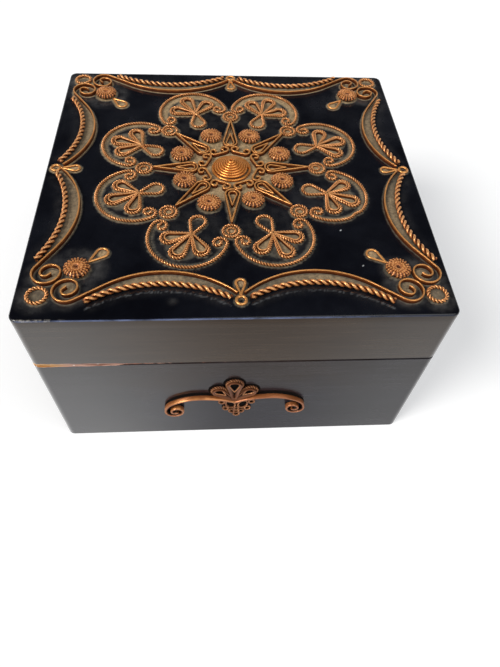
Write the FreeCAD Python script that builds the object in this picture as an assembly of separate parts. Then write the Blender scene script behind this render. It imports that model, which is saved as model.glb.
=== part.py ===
import FreeCAD, Part
import math
import os

from FreeCAD import Placement, Rotation, Vector

# Square lacquered jewellery box with a hinged lid and copper wire filigree.
# Millimetres. The origin is the middle of the underside, +Z is up and -Y is
# the front. Every wire ornament is glued flat onto the lacquer.

# Box and lid
box_width = 150.0
box_depth = 148.0
base_height = 58.0
lid_height = 27.0
board_thickness = 8.0
corner_lap = 4.0
corner_radius = 3.0
bottom_thickness = 3.0
bottom_rabbet = 3.0
top_thickness = 4.0
top_arris = 0.7
base_rim_bevel = 0.8
lid_rim_bevel = 0.3
glue_clearance = 0.1

# Velvet-covered pads inside
floor_pad_thickness = 2.0
lid_pad_thickness = 1.5
pad_clearance = 0.3
pad_edge_bevel = 0.5

# Butt hinges let into the two rims at the back, in a groove between bevels
# that meet when the lid stands open
lid_stop_angle = 100.0
stop_clearance = 0.15
hinge_axis_inset = 2.0
hinge_distance = 90.0
hinge_length = 20.0
leaf_margin = 0.2
leaf_thickness = 0.8
leaf_sink = 0.05
mortise_clearance = 0.1
knuckle_radius = 1.6
middle_knuckle_length = 7.8
knuckle_gap = 0.15
knuckle_sides = 12
barrel_clearance = 0.25
pin_radius = 0.8
pin_fit = 0.01
running_fit = 0.05
screw_distance = 12.4
screw_head_radius = 1.1
screw_head_depth = 0.8
screw_shank_radius = 0.6
screw_length = 5.0
screw_clearance = 0.02
screw_sides = 6

# Wire and strip gauges
strip_thickness = 0.8
strip_height = 1.7
cord_width = 1.3
cord_height = 1.0
petal_band_width = 1.9
rope_radius = 1.1
rope_sides = 6
fine_wire = 0.8
ornament_gap = 0.15

# How closely straight runs follow a bend
bend_sag = 0.26
widest_step = 52.5

# Middle of the star on the lid, from the middle of the lid
star_shift_x = -0.7
star_shift_y = 2.0
petals_of_star = 8

# Boss: one wire wound into a cone
boss_radius = 8.1
boss_height = 5.0
boss_wire_radius = 0.38
boss_turns = 6.0
boss_tip_radius = 0.7
boss_wire_sides = 4
boss_seat = 0.02

# Scrolls round the boss
scroll_gap = 1.8
scroll_radius = 1.6
scroll_inner_radius = 0.95

# Star points, rings at their tips and wound rosettes between them
point_end_radius = 3.15
point_inner_end_radius = 1.7
point_inner_length_share = 0.47
tip_ring_radius = 3.1
tip_ring_middle_radius = 2.2
tip_ring_inner_radius = 1.35
tip_ring_cord_width = 0.88
tip_ring_first_turn = 262.0
rosette_radius = 4.65
rosette_height = 2.6
rosette_eye_radius = 0.8
rosette_ribs = 8
rosette_rib_share = 0.09

# Medallions round the star
medallion_spacing = 1.4
medallion_clearance = 2.0
medallion_half_span = 98.0
tip_ring_clearance = 0.6
middle_petal_clearance = 1.8
side_petal_clearance = 2.85
side_petal_angle = 54.0
petal_lap = 0.6
curl_turns = (180.0, 200.0)

# Curls and petals are drawn to fit, as shares of their medallion's radius
curl_shares = (0.173, 0.105)
flower_setback_share = 0.108
inner_petal_length_share = 0.716
inner_petal_share = 0.243
middle_petal_share = 0.216
side_petal_share = 0.209

# Lean of the petal that points to the boss, in the order of the medallions
inner_petal_leans = (-6.0, 8.0, -9.0, -12.0, 2.0, 6.0, -4.0, 5.0)

# Small hand shifts of the eight tip rings, rosettes and medallions, going round
# against the clock from the tip ring nearest the lid's right edge
tip_ring_shifts = (
    (-0.1, 0.3),
    (0.5, 0.6),
    (0.8, 0.6),
    (-0.6, 0.2),
    (0.4, 0.0),
    (0.6, -0.7),
    (-1.1, -0.6),
    (0.2, -0.3),
)
rosette_shifts = (
    (0.2, 0.4),
    (0.0, 0.6),
    (0.3, 0.8),
    (0.0, 0.2),
    (1.4, 0.4),
    (-0.8, -1.2),
    (-0.4, 0.7),
    (0.0, 0.0),
)
medallion_shifts = (
    (-0.1, 0.2),
    (0.0, 0.5),
    (0.3, 0.3),
    (0.1, -0.2),
    (0.8, 0.0),
    (-1.0, -0.6),
    (-1.3, 0.0),
    (-0.3, 0.0),
)

# Border along the four sides
knot_inset = 4.0
strip_crest_inset = 16.4
rope_crest_inset = 11.2
front_border_shift = 3.1
strip_end_from_knot = 1.3
strip_end_above_knot = 2.8
rope_start_from_knot = 3.4
rope_end_back = 6.2
rope_end_out = 4.6
lead_in_run = 11.0
knot_ring_radius = 1.7
knot_loop_length = 7.5
knot_loop_radius = 2.05
knot_shifts = {"front": 0.5, "back": 1.0, "left": 2.1, "right": 1.6}

# Corner groups: distances from the two lid edges
corner_ring_inset = 8.2
corner_ring_radius = 3.25
spiral_along_inset = 17.8
spiral_across_inset = 9.8
spiral_radii = (4.8, 3.4, 1.7)
spiral_tail = 1.2
corner_rosette_inset = 19.8
corner_loop_length = 8.6
corner_loop_radius = 2.5

# Small hand shifts of the corner groups, keyed by the signs of x and y
corner_shifts = {
    (-1, -1): (-0.3, 1.8),
    (1, -1): (1.6, 0.4),
    (-1, 1): (-1.2, 0.9),
    (1, 1): (0.4, 1.4),
}

# Ornament on the front of the base; each group is shifted a little by hand
ornament_level = 29.8
bow_proud = 2.3
bow_shift = -0.75
bow_tilt = 1.0
bow_start_heading = 28.0
bow_bends = (
    (30.2, 28.0),
    (19.2, 38.0),
    (7.7, 52.0),
    (3.6, 180.0),
    (2.4, 180.0),
    (1.4, 150.0),
)
crown_proud = 2.0
crown_shift = -1.1
crown_lift = 1.5
crown_middle_length = 14.5
crown_middle_radius = 3.65
crown_side_length = 12.0
crown_side_radius = 3.3
crown_side_angle = 46.0
crown_strip_gap = 0.15
drop_proud = 1.8
drop_wire = 0.7

# Rings of the drop: place from the middle of the bow, and outer radius
drop_rings = (
    (2.6, -4.0, 2.35),
    (6.4, -2.1, 1.6),
    (4.3, -7.7, 1.5),
    (0.0, -7.8, 1.2),
    (1.5, -10.6, 1.35),
    (0.0, -13.2, 1.3),
)

# Derived heights and places
half_width = box_width / 2
half_depth = box_depth / 2
lid_top = base_height + lid_height
rail_top = lid_top - top_thickness
inner_width = box_width - 2 * board_thickness
inner_depth = box_depth - 2 * board_thickness
hinge_axis_y = half_depth - hinge_axis_inset
hinge_axis_z = base_height
leaf_front = inner_depth / 2 + leaf_margin
leaf_back = hinge_axis_y - knuckle_radius - knuckle_gap
star_middle = Vector(star_shift_x, star_shift_y, 0)
UP = Vector(0, 0, 1)
RIGHT = Vector(1, 0, 0)


# Plain solids


def block(x0, x1, y0, y1, z0, z1):
    """A box between two corners."""
    return Part.makeBox(x1 - x0, y1 - y0, z1 - z0, Vector(x0, y0, z0))


def edges_where(shape, test):
    """The edges of a shape whose middle passes a test."""
    found = []
    for edge in shape.Edges:
        middle = edge.valueAt((edge.FirstParameter + edge.LastParameter) / 2)
        if test(middle):
            found.append(edge)
    return found


def placed(shape, turn=0.0, at=Vector(0, 0, 0)):
    """A copy turned about +Z and then moved."""
    copy = shape.copy()
    copy.Placement = Placement(at, Rotation(UP, turn)).multiply(copy.Placement)
    return copy


def polar(radius, angle):
    """A point at a distance and a bearing from the origin."""
    return Vector(
        radius * math.cos(math.radians(angle)),
        radius * math.sin(math.radians(angle)),
        0,
    )


def near(value, target):
    """Whether two lengths agree."""
    return abs(value - target) < 1e-6


# Wire laid flat: a path is a list of points in the plane


def steps_for(radius, turn):
    """How many straight runs lay a bend without leaving it by more than bend_sag."""
    step = 2 * math.degrees(math.acos(1 - min(bend_sag / radius, 0.5)))
    return max(1, math.ceil(abs(turn) / min(step, widest_step)))


def run(points, heading, length):
    """Goes straight on."""
    points.append(points[-1] + polar(length, heading))
    return heading


def bend(points, heading, radius, turn):
    """Goes round an arc, to the left where turn is positive."""
    side = 90 if turn > 0 else -90
    middle = points[-1] + polar(radius, heading + side)
    count = steps_for(radius, turn)
    for step in range(1, count + 1):
        points.append(middle + polar(radius, heading - side + turn * step / count))
    return heading + turn


def curl(points, heading, radii, turns, side):
    """Winds inwards through bends of shrinking radius."""
    for radius, turn in zip(radii, turns):
        heading = bend(points, heading, radius, side * turn)
    return heading


def offset_line(points, distance):
    """The path moved sideways, with mitred corners."""
    moved = []
    for index, point in enumerate(points):
        before = points[max(index - 1, 0)]
        after = points[min(index + 1, len(points) - 1)]
        first = (point - before) if index > 0 else (after - point)
        second = (after - point) if index < len(points) - 1 else (point - before)
        first.normalize()
        second.normalize()
        along = first + second
        along.normalize()
        mitre = distance / along.dot(first)
        moved.append(point + Vector(-along.y, along.x, 0) * mitre)
    return moved


def prism(outline, height, holes=()):
    """A flat outline with holes, raised to a height."""
    face = Part.Face(Part.makePolygon(outline + outline[:1]))
    for hole in holes:
        face = face.cut(Part.Face(Part.makePolygon(hole + hole[:1])))
    return face.extrude(UP * height).Solids[0]


def ribbon(points, width, height):
    """A wire or strip of even width along an open path."""
    left = offset_line(points, width / 2)
    right = offset_line(points, -width / 2)
    return prism(left + right[::-1], height)


def circle_points(radius, count, phase=0.0):
    """A round outline as even straight runs."""
    return [polar(radius, phase + 360 * step / count) for step in range(count)]


def ring(outer_radius, width, height):
    """A closed ring of wire."""
    count = steps_for(outer_radius, 360)
    hole = circle_points(outer_radius - width, count)
    return prism(circle_points(outer_radius, count), height, [hole])


def drop_outline(reach, radius):
    """A teardrop with its point at the origin and its round end along +X."""
    middle = reach - radius
    lean = math.degrees(math.asin(radius / middle))
    turn = 180 + 2 * lean
    count = steps_for(radius, turn)
    outline = [Vector(0, 0, 0)]
    for step in range(count + 1):
        angle = -90 - lean + turn * step / count
        outline.append(Vector(middle, 0, 0) + polar(radius, angle))
    return outline


def drop_hole(reach, radius, width):
    """The teardrop a wire's width inside another one."""
    middle = reach - radius
    inner = radius - width
    hole_reach = middle * inner / radius + inner
    shift = Vector(reach - width - hole_reach, 0, 0)
    return [point + shift for point in drop_outline(hole_reach, inner)]


def drop(reach, radius, width, height):
    """A teardrop loop of wire."""
    hole = drop_hole(reach, radius, width)
    return prism(drop_outline(reach, radius), height, [hole])


def stacked(sections):
    """A solid with flat sides through outlines of equal count, one after another."""
    faces = []
    for lower, upper in zip(sections, sections[1:]):
        for index in range(len(lower)):
            after = (index + 1) % len(lower)
            side = [lower[index], lower[after], upper[after], upper[index]]
            faces.append(Part.Face(Part.makePolygon(side + side[:1])))
    for end in (sections[0], sections[-1]):
        faces.append(Part.Face(Part.makePolygon(end + end[:1])))
    shell = Part.Shell(faces)
    shell.sewShape()
    return Part.Solid(shell)


def rope(points, radius):
    """A few-sided round rope that lies on the plane z = 0 along a path."""
    sections = []
    apothem = radius * math.cos(math.pi / rope_sides)
    for index in range(len(points)):
        section = []
        for side in range(rope_sides):
            angle = math.pi / rope_sides * (2 * side + 1) - math.pi / 2
            across = radius * math.cos(angle)
            height = radius * math.sin(angle) + apothem
            point = offset_line(points, across)[index]
            section.append(Vector(point.x, point.y, height))
        sections.append(section)
    return stacked(sections)


def rosette():
    """A button of wire wound round and round a small ring, as a ribbed dome."""
    levels = (
        (rosette_radius, 0.0),
        (rosette_radius, 0.4 * rosette_height),
        (0.62 * rosette_radius, rosette_height),
        (rosette_eye_radius, 0.8 * rosette_height),
    )
    sections = []
    for radius, height in levels:
        section = []
        for step in range(2 * rosette_ribs):
            reach = radius * (1 - rosette_rib_share * (step % 2))
            section.append(polar(reach, 180 * step / rosette_ribs) + UP * height)
        sections.append(section)
    return stacked(sections)


# Wooden carcass


def end_board(height, front):
    """A full-width board, lapped over the side boards at both ends."""
    board = block(
        -half_width, half_width, -half_depth, -half_depth + board_thickness, 0, height
    )
    for side in (-1, 1):
        outer = side * half_width
        inner = side * (half_width - board_thickness)
        board = board.cut(
            block(
                min(outer, inner),
                max(outer, inner),
                -half_depth + corner_lap,
                -half_depth + board_thickness,
                0,
                height,
            )
        )
    corners = edges_where(
        board,
        lambda p: near(abs(p.x), half_width)
        and near(p.y, -half_depth)
        and near(p.z, height / 2),
    )
    board = board.makeFillet(min(corner_radius, corner_lap), corners)
    if not front:
        board = placed(board, 180)
    return board


def side_board(height, side):
    """A side board whose ends sit in the laps of the front and the back."""
    outer = side * half_width
    inner = side * (half_width - board_thickness)
    reach = half_depth - corner_lap
    return block(min(outer, inner), max(outer, inner), -reach, reach, 0, height)


def on_outline(point):
    """Whether a point lies on the outer faces of the box."""
    on_side = near(abs(point.x), half_width) or near(abs(point.y), half_depth)
    round_x = half_width - corner_radius
    round_y = half_depth - corner_radius
    if abs(point.x) > round_x and abs(point.y) > round_y:
        gap = math.hypot(abs(point.x) - round_x, abs(point.y) - round_y)
        return abs(gap - corner_radius) < 1e-4
    return on_side


def rim_bevelled(board, level, bevel):
    """The board with its outer rim edge eased at one level."""
    edges = edges_where(board, lambda p: near(p.z, level) and on_outline(p))
    return board.makeChamfer(bevel, edges)


def four_boards(height):
    """Front, back, left and right boards that stand on z = 0."""
    return {
        "front": end_board(height, True),
        "back": end_board(height, False),
        "left": side_board(height, -1),
        "right": side_board(height, 1),
    }


def bottom_panel(clearance):
    """The panel let into the rabbet round the underside."""
    reach_x = inner_width / 2 + bottom_rabbet - clearance
    reach_y = inner_depth / 2 + bottom_rabbet - clearance
    return block(-reach_x, reach_x, -reach_y, reach_y, 0, bottom_thickness)


def pad(z0, z1, bevel_level):
    """A velvet-covered card that fills the inside of a tray."""
    reach_x = inner_width / 2 - pad_clearance
    reach_y = inner_depth / 2 - pad_clearance
    card = block(-reach_x, reach_x, -reach_y, reach_y, z0, z1)
    edges = edges_where(card, lambda p: near(p.z, bevel_level))
    return card.makeChamfer(pad_edge_bevel, edges)


def top_panel():
    """The lid's top board with rounded corners and an eased arris."""
    panel = block(
        -half_width, half_width, -half_depth, half_depth, rail_top, lid_top
    )
    middle = (rail_top + lid_top) / 2
    panel = panel.makeFillet(
        min(corner_radius, corner_lap), edges_where(panel, lambda p: near(p.z, middle))
    )
    return panel.makeChamfer(top_arris, edges_where(panel, lambda p: near(p.z, lid_top)))


# Hinges


def flipped(shape):
    """The shape mirrored in the plane of the seam."""
    return shape.mirror(Vector(0, 0, base_height), UP)


def hinge_middles():
    """Where the two hinges sit along X."""
    return (-hinge_distance / 2, hinge_distance / 2)


def mortise(middle):
    """The shallow pocket for one leaf and half the barrel, below the seam."""
    reach = hinge_length / 2 + mortise_clearance
    low = base_height - leaf_thickness - leaf_sink
    pocket = block(
        middle - reach, middle + reach, inner_depth / 2, hinge_axis_y, low, base_height
    )
    start = Vector(middle - reach, hinge_axis_y, hinge_axis_z)
    cove = Part.makeCylinder(knuckle_radius + barrel_clearance, 2 * reach, start, RIGHT)
    return pocket.fuse(cove)


def stop_bevel():
    """What is planed off the back of the base's rim; the lid's is its mirror image."""
    inner = hinge_axis_y - stop_clearance
    fall = (half_depth - inner) * math.tan(math.radians(lid_stop_angle / 2))
    corners = ((inner, 0.0), (half_depth, 0.0), (half_depth, -fall))
    section = [Vector(-half_width, y, base_height + z) for y, z in corners]
    face = Part.Face(Part.makePolygon(section + section[:1]))
    return face.extrude(RIGHT * box_width)


def screw_places(middle):
    """Where one leaf's screws go in, in plan."""
    line = (leaf_front + leaf_back) / 2
    return [
        Vector(middle + side * screw_distance / 2, line, 0) for side in (-1, 1)
    ]


def screw(at, extra):
    """A countersunk screw below the seam, or its hole where extra is not zero."""
    top = base_height - leaf_sink
    levels = (
        (screw_head_radius, top),
        (screw_shank_radius, top - screw_head_depth),
        (screw_shank_radius, top - screw_length),
    )
    if extra:
        levels = levels[:2] + ((screw_shank_radius, top - screw_length - extra),)
    sections = []
    for radius, height in levels:
        outline = circle_points(radius + extra, screw_sides)
        sections.append([point + at + UP * height for point in outline])
    return stacked(sections)


def knuckle(x0, x1):
    """One many-sided knuckle of the barrel, not yet bored."""
    outline = circle_points(knuckle_radius, knuckle_sides, 180 / knuckle_sides)
    start = Vector(x0, hinge_axis_y, hinge_axis_z)
    section = [start + Vector(0, point.x, point.y) for point in outline]
    return Part.Face(Part.makePolygon(section + section[:1])).extrude(RIGHT * (x1 - x0))


def leaf(middle, spans, bore_radius):
    """A leaf below the seam that carries knuckles over the given spans."""
    top = base_height - leaf_sink
    low = top - leaf_thickness
    left = middle - hinge_length / 2
    right = middle + hinge_length / 2
    body = block(left, right, leaf_front, leaf_back, low, top)
    for x0, x1 in spans:
        neck = block(middle + x0, middle + x1, leaf_back, hinge_axis_y, low, top)
        body = body.fuse([neck, knuckle(middle + x0, middle + x1)])
    start = Vector(left, hinge_axis_y, hinge_axis_z)
    body = body.cut(Part.makeCylinder(bore_radius, hinge_length, start, RIGHT))
    for place in screw_places(middle):
        body = body.cut(screw(place, screw_clearance))
    return body.removeSplitter()


def hinge_pin(middle):
    """The pin through all knuckles, flush with the barrel's ends."""
    start = Vector(middle - hinge_length / 2, hinge_axis_y, hinge_axis_z)
    return Part.makeCylinder(pin_radius, hinge_length, start, RIGHT)


# Boss: a conical winding


def boss_point(turns):
    """The middle of the boss wire after so many turns from the rim."""
    share = turns / boss_turns
    rim = boss_radius - boss_wire_radius
    radius = rim + (boss_tip_radius - rim) * share
    rise = boss_height - 2 * boss_wire_radius
    level = boss_wire_radius + boss_seat + rise * share
    return polar(radius, 360 * turns) + UP * level


def boss_heading(turns):
    """Which way the boss wire runs after so many turns."""
    small = 1e-4
    heading = boss_point(turns + small) - boss_point(turns - small)
    heading.normalize()
    return heading


def arc_between(start, heading, end):
    """The arc that leaves start along heading and ends at end."""
    chord = end - start
    normal = chord - heading * chord.dot(heading)
    normal.normalize()
    radius = chord.Length**2 / (2 * chord.dot(normal))
    middle = start + normal * radius
    bisector = (start + end) * 0.5 - middle
    bisector.normalize()
    return Part.Arc(start, middle + bisector * radius, end).toShape()


def biarc(start, heading, end, end_heading):
    """Two arcs that join two points and run along both headings."""
    chord = end - start
    both = heading + end_heading
    a = 2 * (1 - heading.dot(end_heading))
    b = 2 * chord.dot(both)
    c = -chord.dot(chord)
    reach = (-b + math.sqrt(b * b - 4 * a * c)) / (2 * a)
    joint = (start + end + (heading - end_heading) * reach) * 0.5
    first = arc_between(start, heading, joint)
    second = arc_between(end, -end_heading, joint)
    return [first, second]


def boss_coil():
    """One unbroken wire from the rim to the tip, on biarcs of half a turn."""
    halves = int(2 * boss_turns)
    edges = []
    tail = 2 * boss_wire_radius
    first = boss_point(0) - boss_heading(0) * tail
    edges.append(Part.LineSegment(first, boss_point(0)).toShape())
    for half in range(halves):
        start = half / 2
        end = start + 0.5
        edges += biarc(
            boss_point(start), boss_heading(start), boss_point(end), boss_heading(end)
        )
    last = boss_point(halves / 2)
    tip = last + boss_heading(halves / 2) * tail
    edges.append(Part.LineSegment(last, tip).toShape())
    path = Part.Wire(Part.__sortEdges__(edges))
    frame = Rotation(UP, boss_heading(0))
    section = [
        frame.multVec(point) + first
        for point in circle_points(boss_wire_radius, boss_wire_sides)
    ]
    profile = Part.makePolygon(section + section[:1])
    return path.makePipeShell([profile], True, False)


def boss_least_gap():
    """The least gap between one turn of the boss wire and the next."""
    per_turn = 72
    points = [boss_point(step / per_turn) for step in range(int(boss_turns * per_turn))]
    least = math.inf
    for index, point in enumerate(points):
        for other in points[index + per_turn // 2 :]:
            least = min(least, (point - other).Length)
    return least - 2 * boss_wire_radius


# Star


def boss_scroll_reach():
    """Distance of the little scrolls' middles from the boss's middle."""
    return boss_radius + scroll_gap + scroll_radius + strip_thickness / 2


def scroll_angle():
    """Angle from a scroll's middle line to each of its two curls."""
    return 90.0 / petals_of_star


def boss_scroll():
    """A scroll with its back to the boss and both ends curled outwards."""
    reach = boss_scroll_reach()
    across = reach * math.sin(math.radians(scroll_angle()))
    level = reach * math.cos(math.radians(scroll_angle())) - scroll_radius
    halves = []
    for side in (-1, 1):
        points = [Vector(level, -side * 0.1, 0)]
        heading = run(points, side * 90, across + 0.1)
        curl(points, heading, (scroll_radius, scroll_inner_radius), (180, 90), -side)
        halves.append(ribbon(points, strip_thickness, strip_height))
    return halves[0].fuse(halves[1]).removeSplitter()


def star_point_base():
    """Distance of a star point's round end from the boss's middle."""
    reach = boss_scroll_reach()
    across = reach * math.sin(math.radians(scroll_angle()))
    along = reach * math.cos(math.radians(scroll_angle()))
    scroll_outer = scroll_radius + strip_thickness / 2
    apart = point_end_radius + scroll_outer + 2 * ornament_gap
    return along + math.sqrt(apart**2 - across**2)


def medallion_sizes():
    """Distance of the medallions from the star's middle and their outer radius."""
    half_step = math.radians(180.0 / petals_of_star)
    front_room = half_depth + star_shift_y - strip_crest_inset - front_border_shift
    side_room = half_width - abs(star_shift_x) - strip_crest_inset
    back_room = half_depth - star_shift_y - strip_crest_inset
    room = min(front_room, side_room, back_room)
    reach = room - strip_thickness / 2 - medallion_clearance
    distance = reach + medallion_spacing / 2
    distance = distance / (math.cos(half_step) + math.sin(half_step))
    outer = distance * math.sin(half_step) - medallion_spacing / 2
    return distance, outer


medallion_distance, medallion_outer_radius = medallion_sizes()
medallion_radius = medallion_outer_radius - cord_width / 2
medallion_inner_radius = medallion_radius - cord_width / 2
curl_radii = [share * medallion_radius for share in curl_shares]
flower_setback = flower_setback_share * medallion_radius
inner_petal_length = inner_petal_length_share * medallion_radius
inner_petal_radius = inner_petal_share * medallion_radius
middle_petal_radius = middle_petal_share * medallion_radius
side_petal_radius = side_petal_share * medallion_radius


def tip_ring_outer():
    """Outer radius of a ring at a star point's tip."""
    return tip_ring_radius + cord_width / 2


def tip_ring_distance():
    """Distance of the tip rings, which nest between the medallions' curls."""
    curl_middle = polar(medallion_distance, -180.0 / petals_of_star) + polar(
        medallion_radius - curl_radii[0],
        -180.0 / petals_of_star + medallion_half_span,
    )
    curl_outer = curl_radii[0] + cord_width / 2
    apart = tip_ring_outer() + curl_outer + tip_ring_clearance
    return curl_middle.x - math.sqrt(apart**2 - curl_middle.y**2)


def tip_ring():
    """A cord wound twice round, from its outer turn inwards."""
    points = [polar(tip_ring_radius, 180)]
    heading = bend(points, -90, tip_ring_radius, tip_ring_first_turn)
    radii = (tip_ring_middle_radius, tip_ring_inner_radius)
    curl(points, heading, radii, (180, 180), 1)
    return ribbon(points, tip_ring_cord_width, cord_height)


def star_point_axes():
    """For each star point its bearing, its base and the distance to its tip."""
    found = []
    for index in range(petals_of_star):
        angle = 360.0 / petals_of_star * index
        base = polar(star_point_base(), angle)
        shift = Vector(*tip_ring_shifts[index % len(tip_ring_shifts)], 0)
        along = polar(tip_ring_distance(), angle) + shift - base
        reach = along.Length - tip_ring_outer() - ornament_gap
        found.append((math.degrees(math.atan2(along.y, along.x)), base, reach))
    return found


def star_points():
    """Long teardrops of strip, each with its tip towards its ring."""
    found = []
    for bearing, base, reach in star_point_axes():
        length = reach + point_end_radius
        loop = drop(length, point_end_radius, strip_thickness, strip_height)
        tip = star_middle + base + polar(reach, bearing)
        found.append(placed(loop, bearing + 180, tip + UP * lid_top))
    return found


def star_inner_drops():
    """The small teardrops inside the star points, against their round ends."""
    found = []
    for bearing, base, reach in star_point_axes():
        length = point_inner_length_share * (reach + point_end_radius)
        width = fine_wire * 0.85
        loop = drop(length, point_inner_end_radius, width, strip_height * 0.9)
        start = strip_thickness + 2 * ornament_gap - point_end_radius
        tip = star_middle + base + polar(start + length, bearing)
        found.append(placed(loop, bearing + 180, tip + UP * lid_top))
    return found


def inner_petal_tip():
    """Distance from the star's middle at which the inner petals end."""
    return medallion_distance - flower_setback - inner_petal_length


def rosette_distance():
    """The rosettes lie midway between the scrolls and the inner petals."""
    scroll_edge = boss_scroll_reach() + scroll_radius + strip_thickness / 2
    return (scroll_edge + inner_petal_tip()) / 2


def round_star(shape, half_step, shifts=((0.0, 0.0),)):
    """Eight copies about the star's middle, on top of the lid."""
    copies = []
    for index in range(petals_of_star):
        angle = 360.0 / petals_of_star * (index + (0.5 if half_step else 0.0))
        shift = Vector(*shifts[index % len(shifts)], lid_top)
        copies.append(placed(shape, angle, star_middle + shift))
    return copies


def off_middle(shape, distance, turn=0.0):
    """The shape turned and then moved out along +X."""
    return placed(shape, turn, Vector(distance, 0, 0))


# Medallions


def medallion_arc():
    """An arc of cord, open towards the boss, with both ends curled in."""
    halves = []
    for side in (-1, 1):
        points = [polar(medallion_radius, -side * 2)]
        heading = side * 88
        heading = bend(points, heading, medallion_radius, side * (medallion_half_span + 2))
        curl(points, heading, curl_radii, curl_turns, side)
        halves.append(ribbon(points, cord_width, cord_height))
    return halves[0].fuse(halves[1]).removeSplitter()


def side_petal_length():
    """Length that keeps a side petal clear of the medallion's arc."""
    room = medallion_inner_radius - side_petal_clearance
    angle = math.radians(side_petal_angle)
    along = flower_setback * math.cos(angle)
    across = flower_setback * math.sin(angle)
    return along + math.sqrt(room**2 - across**2)


def petal(length, radius, width, height, angle):
    """A teardrop whose point laps a little over the junction of its flower."""
    loop = off_middle(drop(length + petal_lap, radius, width, height), -petal_lap)
    return placed(loop, angle)


def flower(lean):
    """Four petals from one junction, the first one towards the boss."""
    middle_length = medallion_inner_radius + flower_setback - middle_petal_clearance
    side_length = side_petal_length()
    sizes = (
        (inner_petal_length, inner_petal_radius, cord_width, 180 + lean),
        (middle_length, middle_petal_radius, petal_band_width, 0.0),
        (side_length, side_petal_radius, petal_band_width, side_petal_angle),
        (side_length, side_petal_radius, petal_band_width, -side_petal_angle),
    )
    petals = []
    for length, radius, width, angle in sizes:
        petals.append(petal(length, radius, width, cord_height, angle))
    return petals[0].multiFuse(petals[1:]).removeSplitter()


def flowers():
    """One flower in each medallion."""
    found = []
    for index in range(petals_of_star):
        lean = inner_petal_leans[index % len(inner_petal_leans)]
        one = off_middle(flower(lean), medallion_distance - flower_setback)
        angle = 360.0 / petals_of_star * (index + 0.5)
        shift = Vector(*medallion_shifts[index % len(medallion_shifts)], lid_top)
        found.append(placed(one, angle, star_middle + shift))
    return found


# Border


def corner_place(sign_x, sign_y, inset_x, inset_y):
    """A point of a corner group, at distances from the two lid edges."""
    shift_x, shift_y = corner_shifts[(sign_x, sign_y)]
    return Vector(
        sign_x * (half_width - inset_x) + shift_x,
        sign_y * (half_depth - inset_y) + shift_y,
        0,
    )


def side_frame(side):
    """Origin at the knot on the lid's edge, the way along it and the way in."""
    shift = knot_shifts[side]
    frames = {
        "front": (Vector(shift, -half_depth, 0), Vector(1, 0, 0), Vector(0, 1, 0)),
        "back": (Vector(shift, half_depth, 0), Vector(1, 0, 0), Vector(0, -1, 0)),
        "left": (Vector(-half_width, shift, 0), Vector(0, 1, 0), Vector(1, 0, 0)),
        "right": (Vector(half_width, shift, 0), Vector(0, 1, 0), Vector(-1, 0, 0)),
    }
    return frames[side]


def side_inset(side, inset):
    """An inset of the border, which sits further in along the front."""
    return inset + (front_border_shift if side == "front" else 0.0)


def spiral_middle(side, half):
    """The corner spiral that one half of a side's strip runs into."""
    along = spiral_along_inset
    across = spiral_across_inset
    if side in ("front", "back"):
        sign_y = -1 if side == "front" else 1
        return corner_place(half, sign_y, along, across)
    sign_x = -1 if side == "left" else 1
    return corner_place(sign_x, half, across, along)


def border_halves():
    """Each half side: its frame, direction, knot level and spiral in that frame."""
    found = []
    for side in ("front", "back", "left", "right"):
        origin, along, inward = side_frame(side)
        for half in (-1, 1):
            spiral = spiral_middle(side, half) - origin
            local = Vector(spiral.dot(along) * half, spiral.dot(inward), 0)
            found.append((side, half, origin, along, inward, local))
    return found


def to_lid(points, half, origin, along, inward):
    """Points of a side's frame as points on the lid."""
    return [origin + along * (half * p.x) + inward * p.y for p in points]


def bow_sweep(start, crest, spiral, radius):
    """Radius and middle of the bow that leaves start and meets the spiral.

    The bow's highest point is at the crest level, and a straight run of
    lead_in_run joins it to a spiral of the given radius. Half the bow's chord
    is the smaller root of a quadratic.
    """
    rise = crest - start.y
    fall = crest - spiral.y
    away = start.x - spiral.x
    a = 1 - (fall + radius) / rise
    b = 2 * away
    c = away**2 + fall**2 - radius**2 - lead_in_run**2 - rise * (fall + radius)
    half_chord = 2 * c / (math.sqrt(b * b - 4 * a * c) - b)
    bow_radius = (half_chord**2 + rise**2) / (2 * rise)
    return bow_radius, Vector(start.x + half_chord, crest - bow_radius, 0)


def strip_path(side, spiral):
    """A strip from the knot over its bow and into the corner spiral."""
    knot = side_inset(side, knot_inset)
    crest = side_inset(side, strip_crest_inset)
    start = Vector(strip_end_from_knot, knot + strip_end_above_knot, 0)
    radius = spiral_radii[0]
    bow_radius, middle = bow_sweep(start, crest, spiral, radius)
    start_heading = math.degrees(math.acos((start.y - middle.y) / bow_radius))
    between = spiral - middle
    bearing = math.degrees(math.atan2(between.y, between.x))
    slant = math.degrees(math.atan2(lead_in_run, bow_radius + radius))
    leave = bearing + slant - 90
    points = [start]
    heading = bend(points, start_heading, bow_radius, leave - start_heading)
    heading = run(points, heading, lead_in_run)
    heading = bend(points, heading, radius, 180 - heading)
    heading = curl(points, heading, spiral_radii[1:], (180, 135), 1)
    run(points, heading, spiral_tail)
    return points


def arc_through(start, crest, end):
    """A shallow arc over two ends whose middle rises to the crest."""
    chord = end - start
    half = chord.Length / 2
    slope = math.degrees(math.atan2(chord.y, chord.x))
    rise = crest - (start.y + end.y) / 2
    radius = (half**2 + rise**2) / (2 * rise)
    sweep = 2 * math.degrees(math.asin(half / radius))
    points = [start]
    bend(points, slope + sweep / 2, radius, -sweep)
    return points


def rope_path(side, spiral):
    """The rope outside a strip, from the knot to the corner spiral."""
    knot = side_inset(side, knot_inset)
    crest = side_inset(side, rope_crest_inset)
    start = Vector(rope_start_from_knot, knot + 1.0, 0)
    end = spiral + Vector(-rope_end_back, -rope_end_out, 0)
    return arc_through(start, crest, end)


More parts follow.
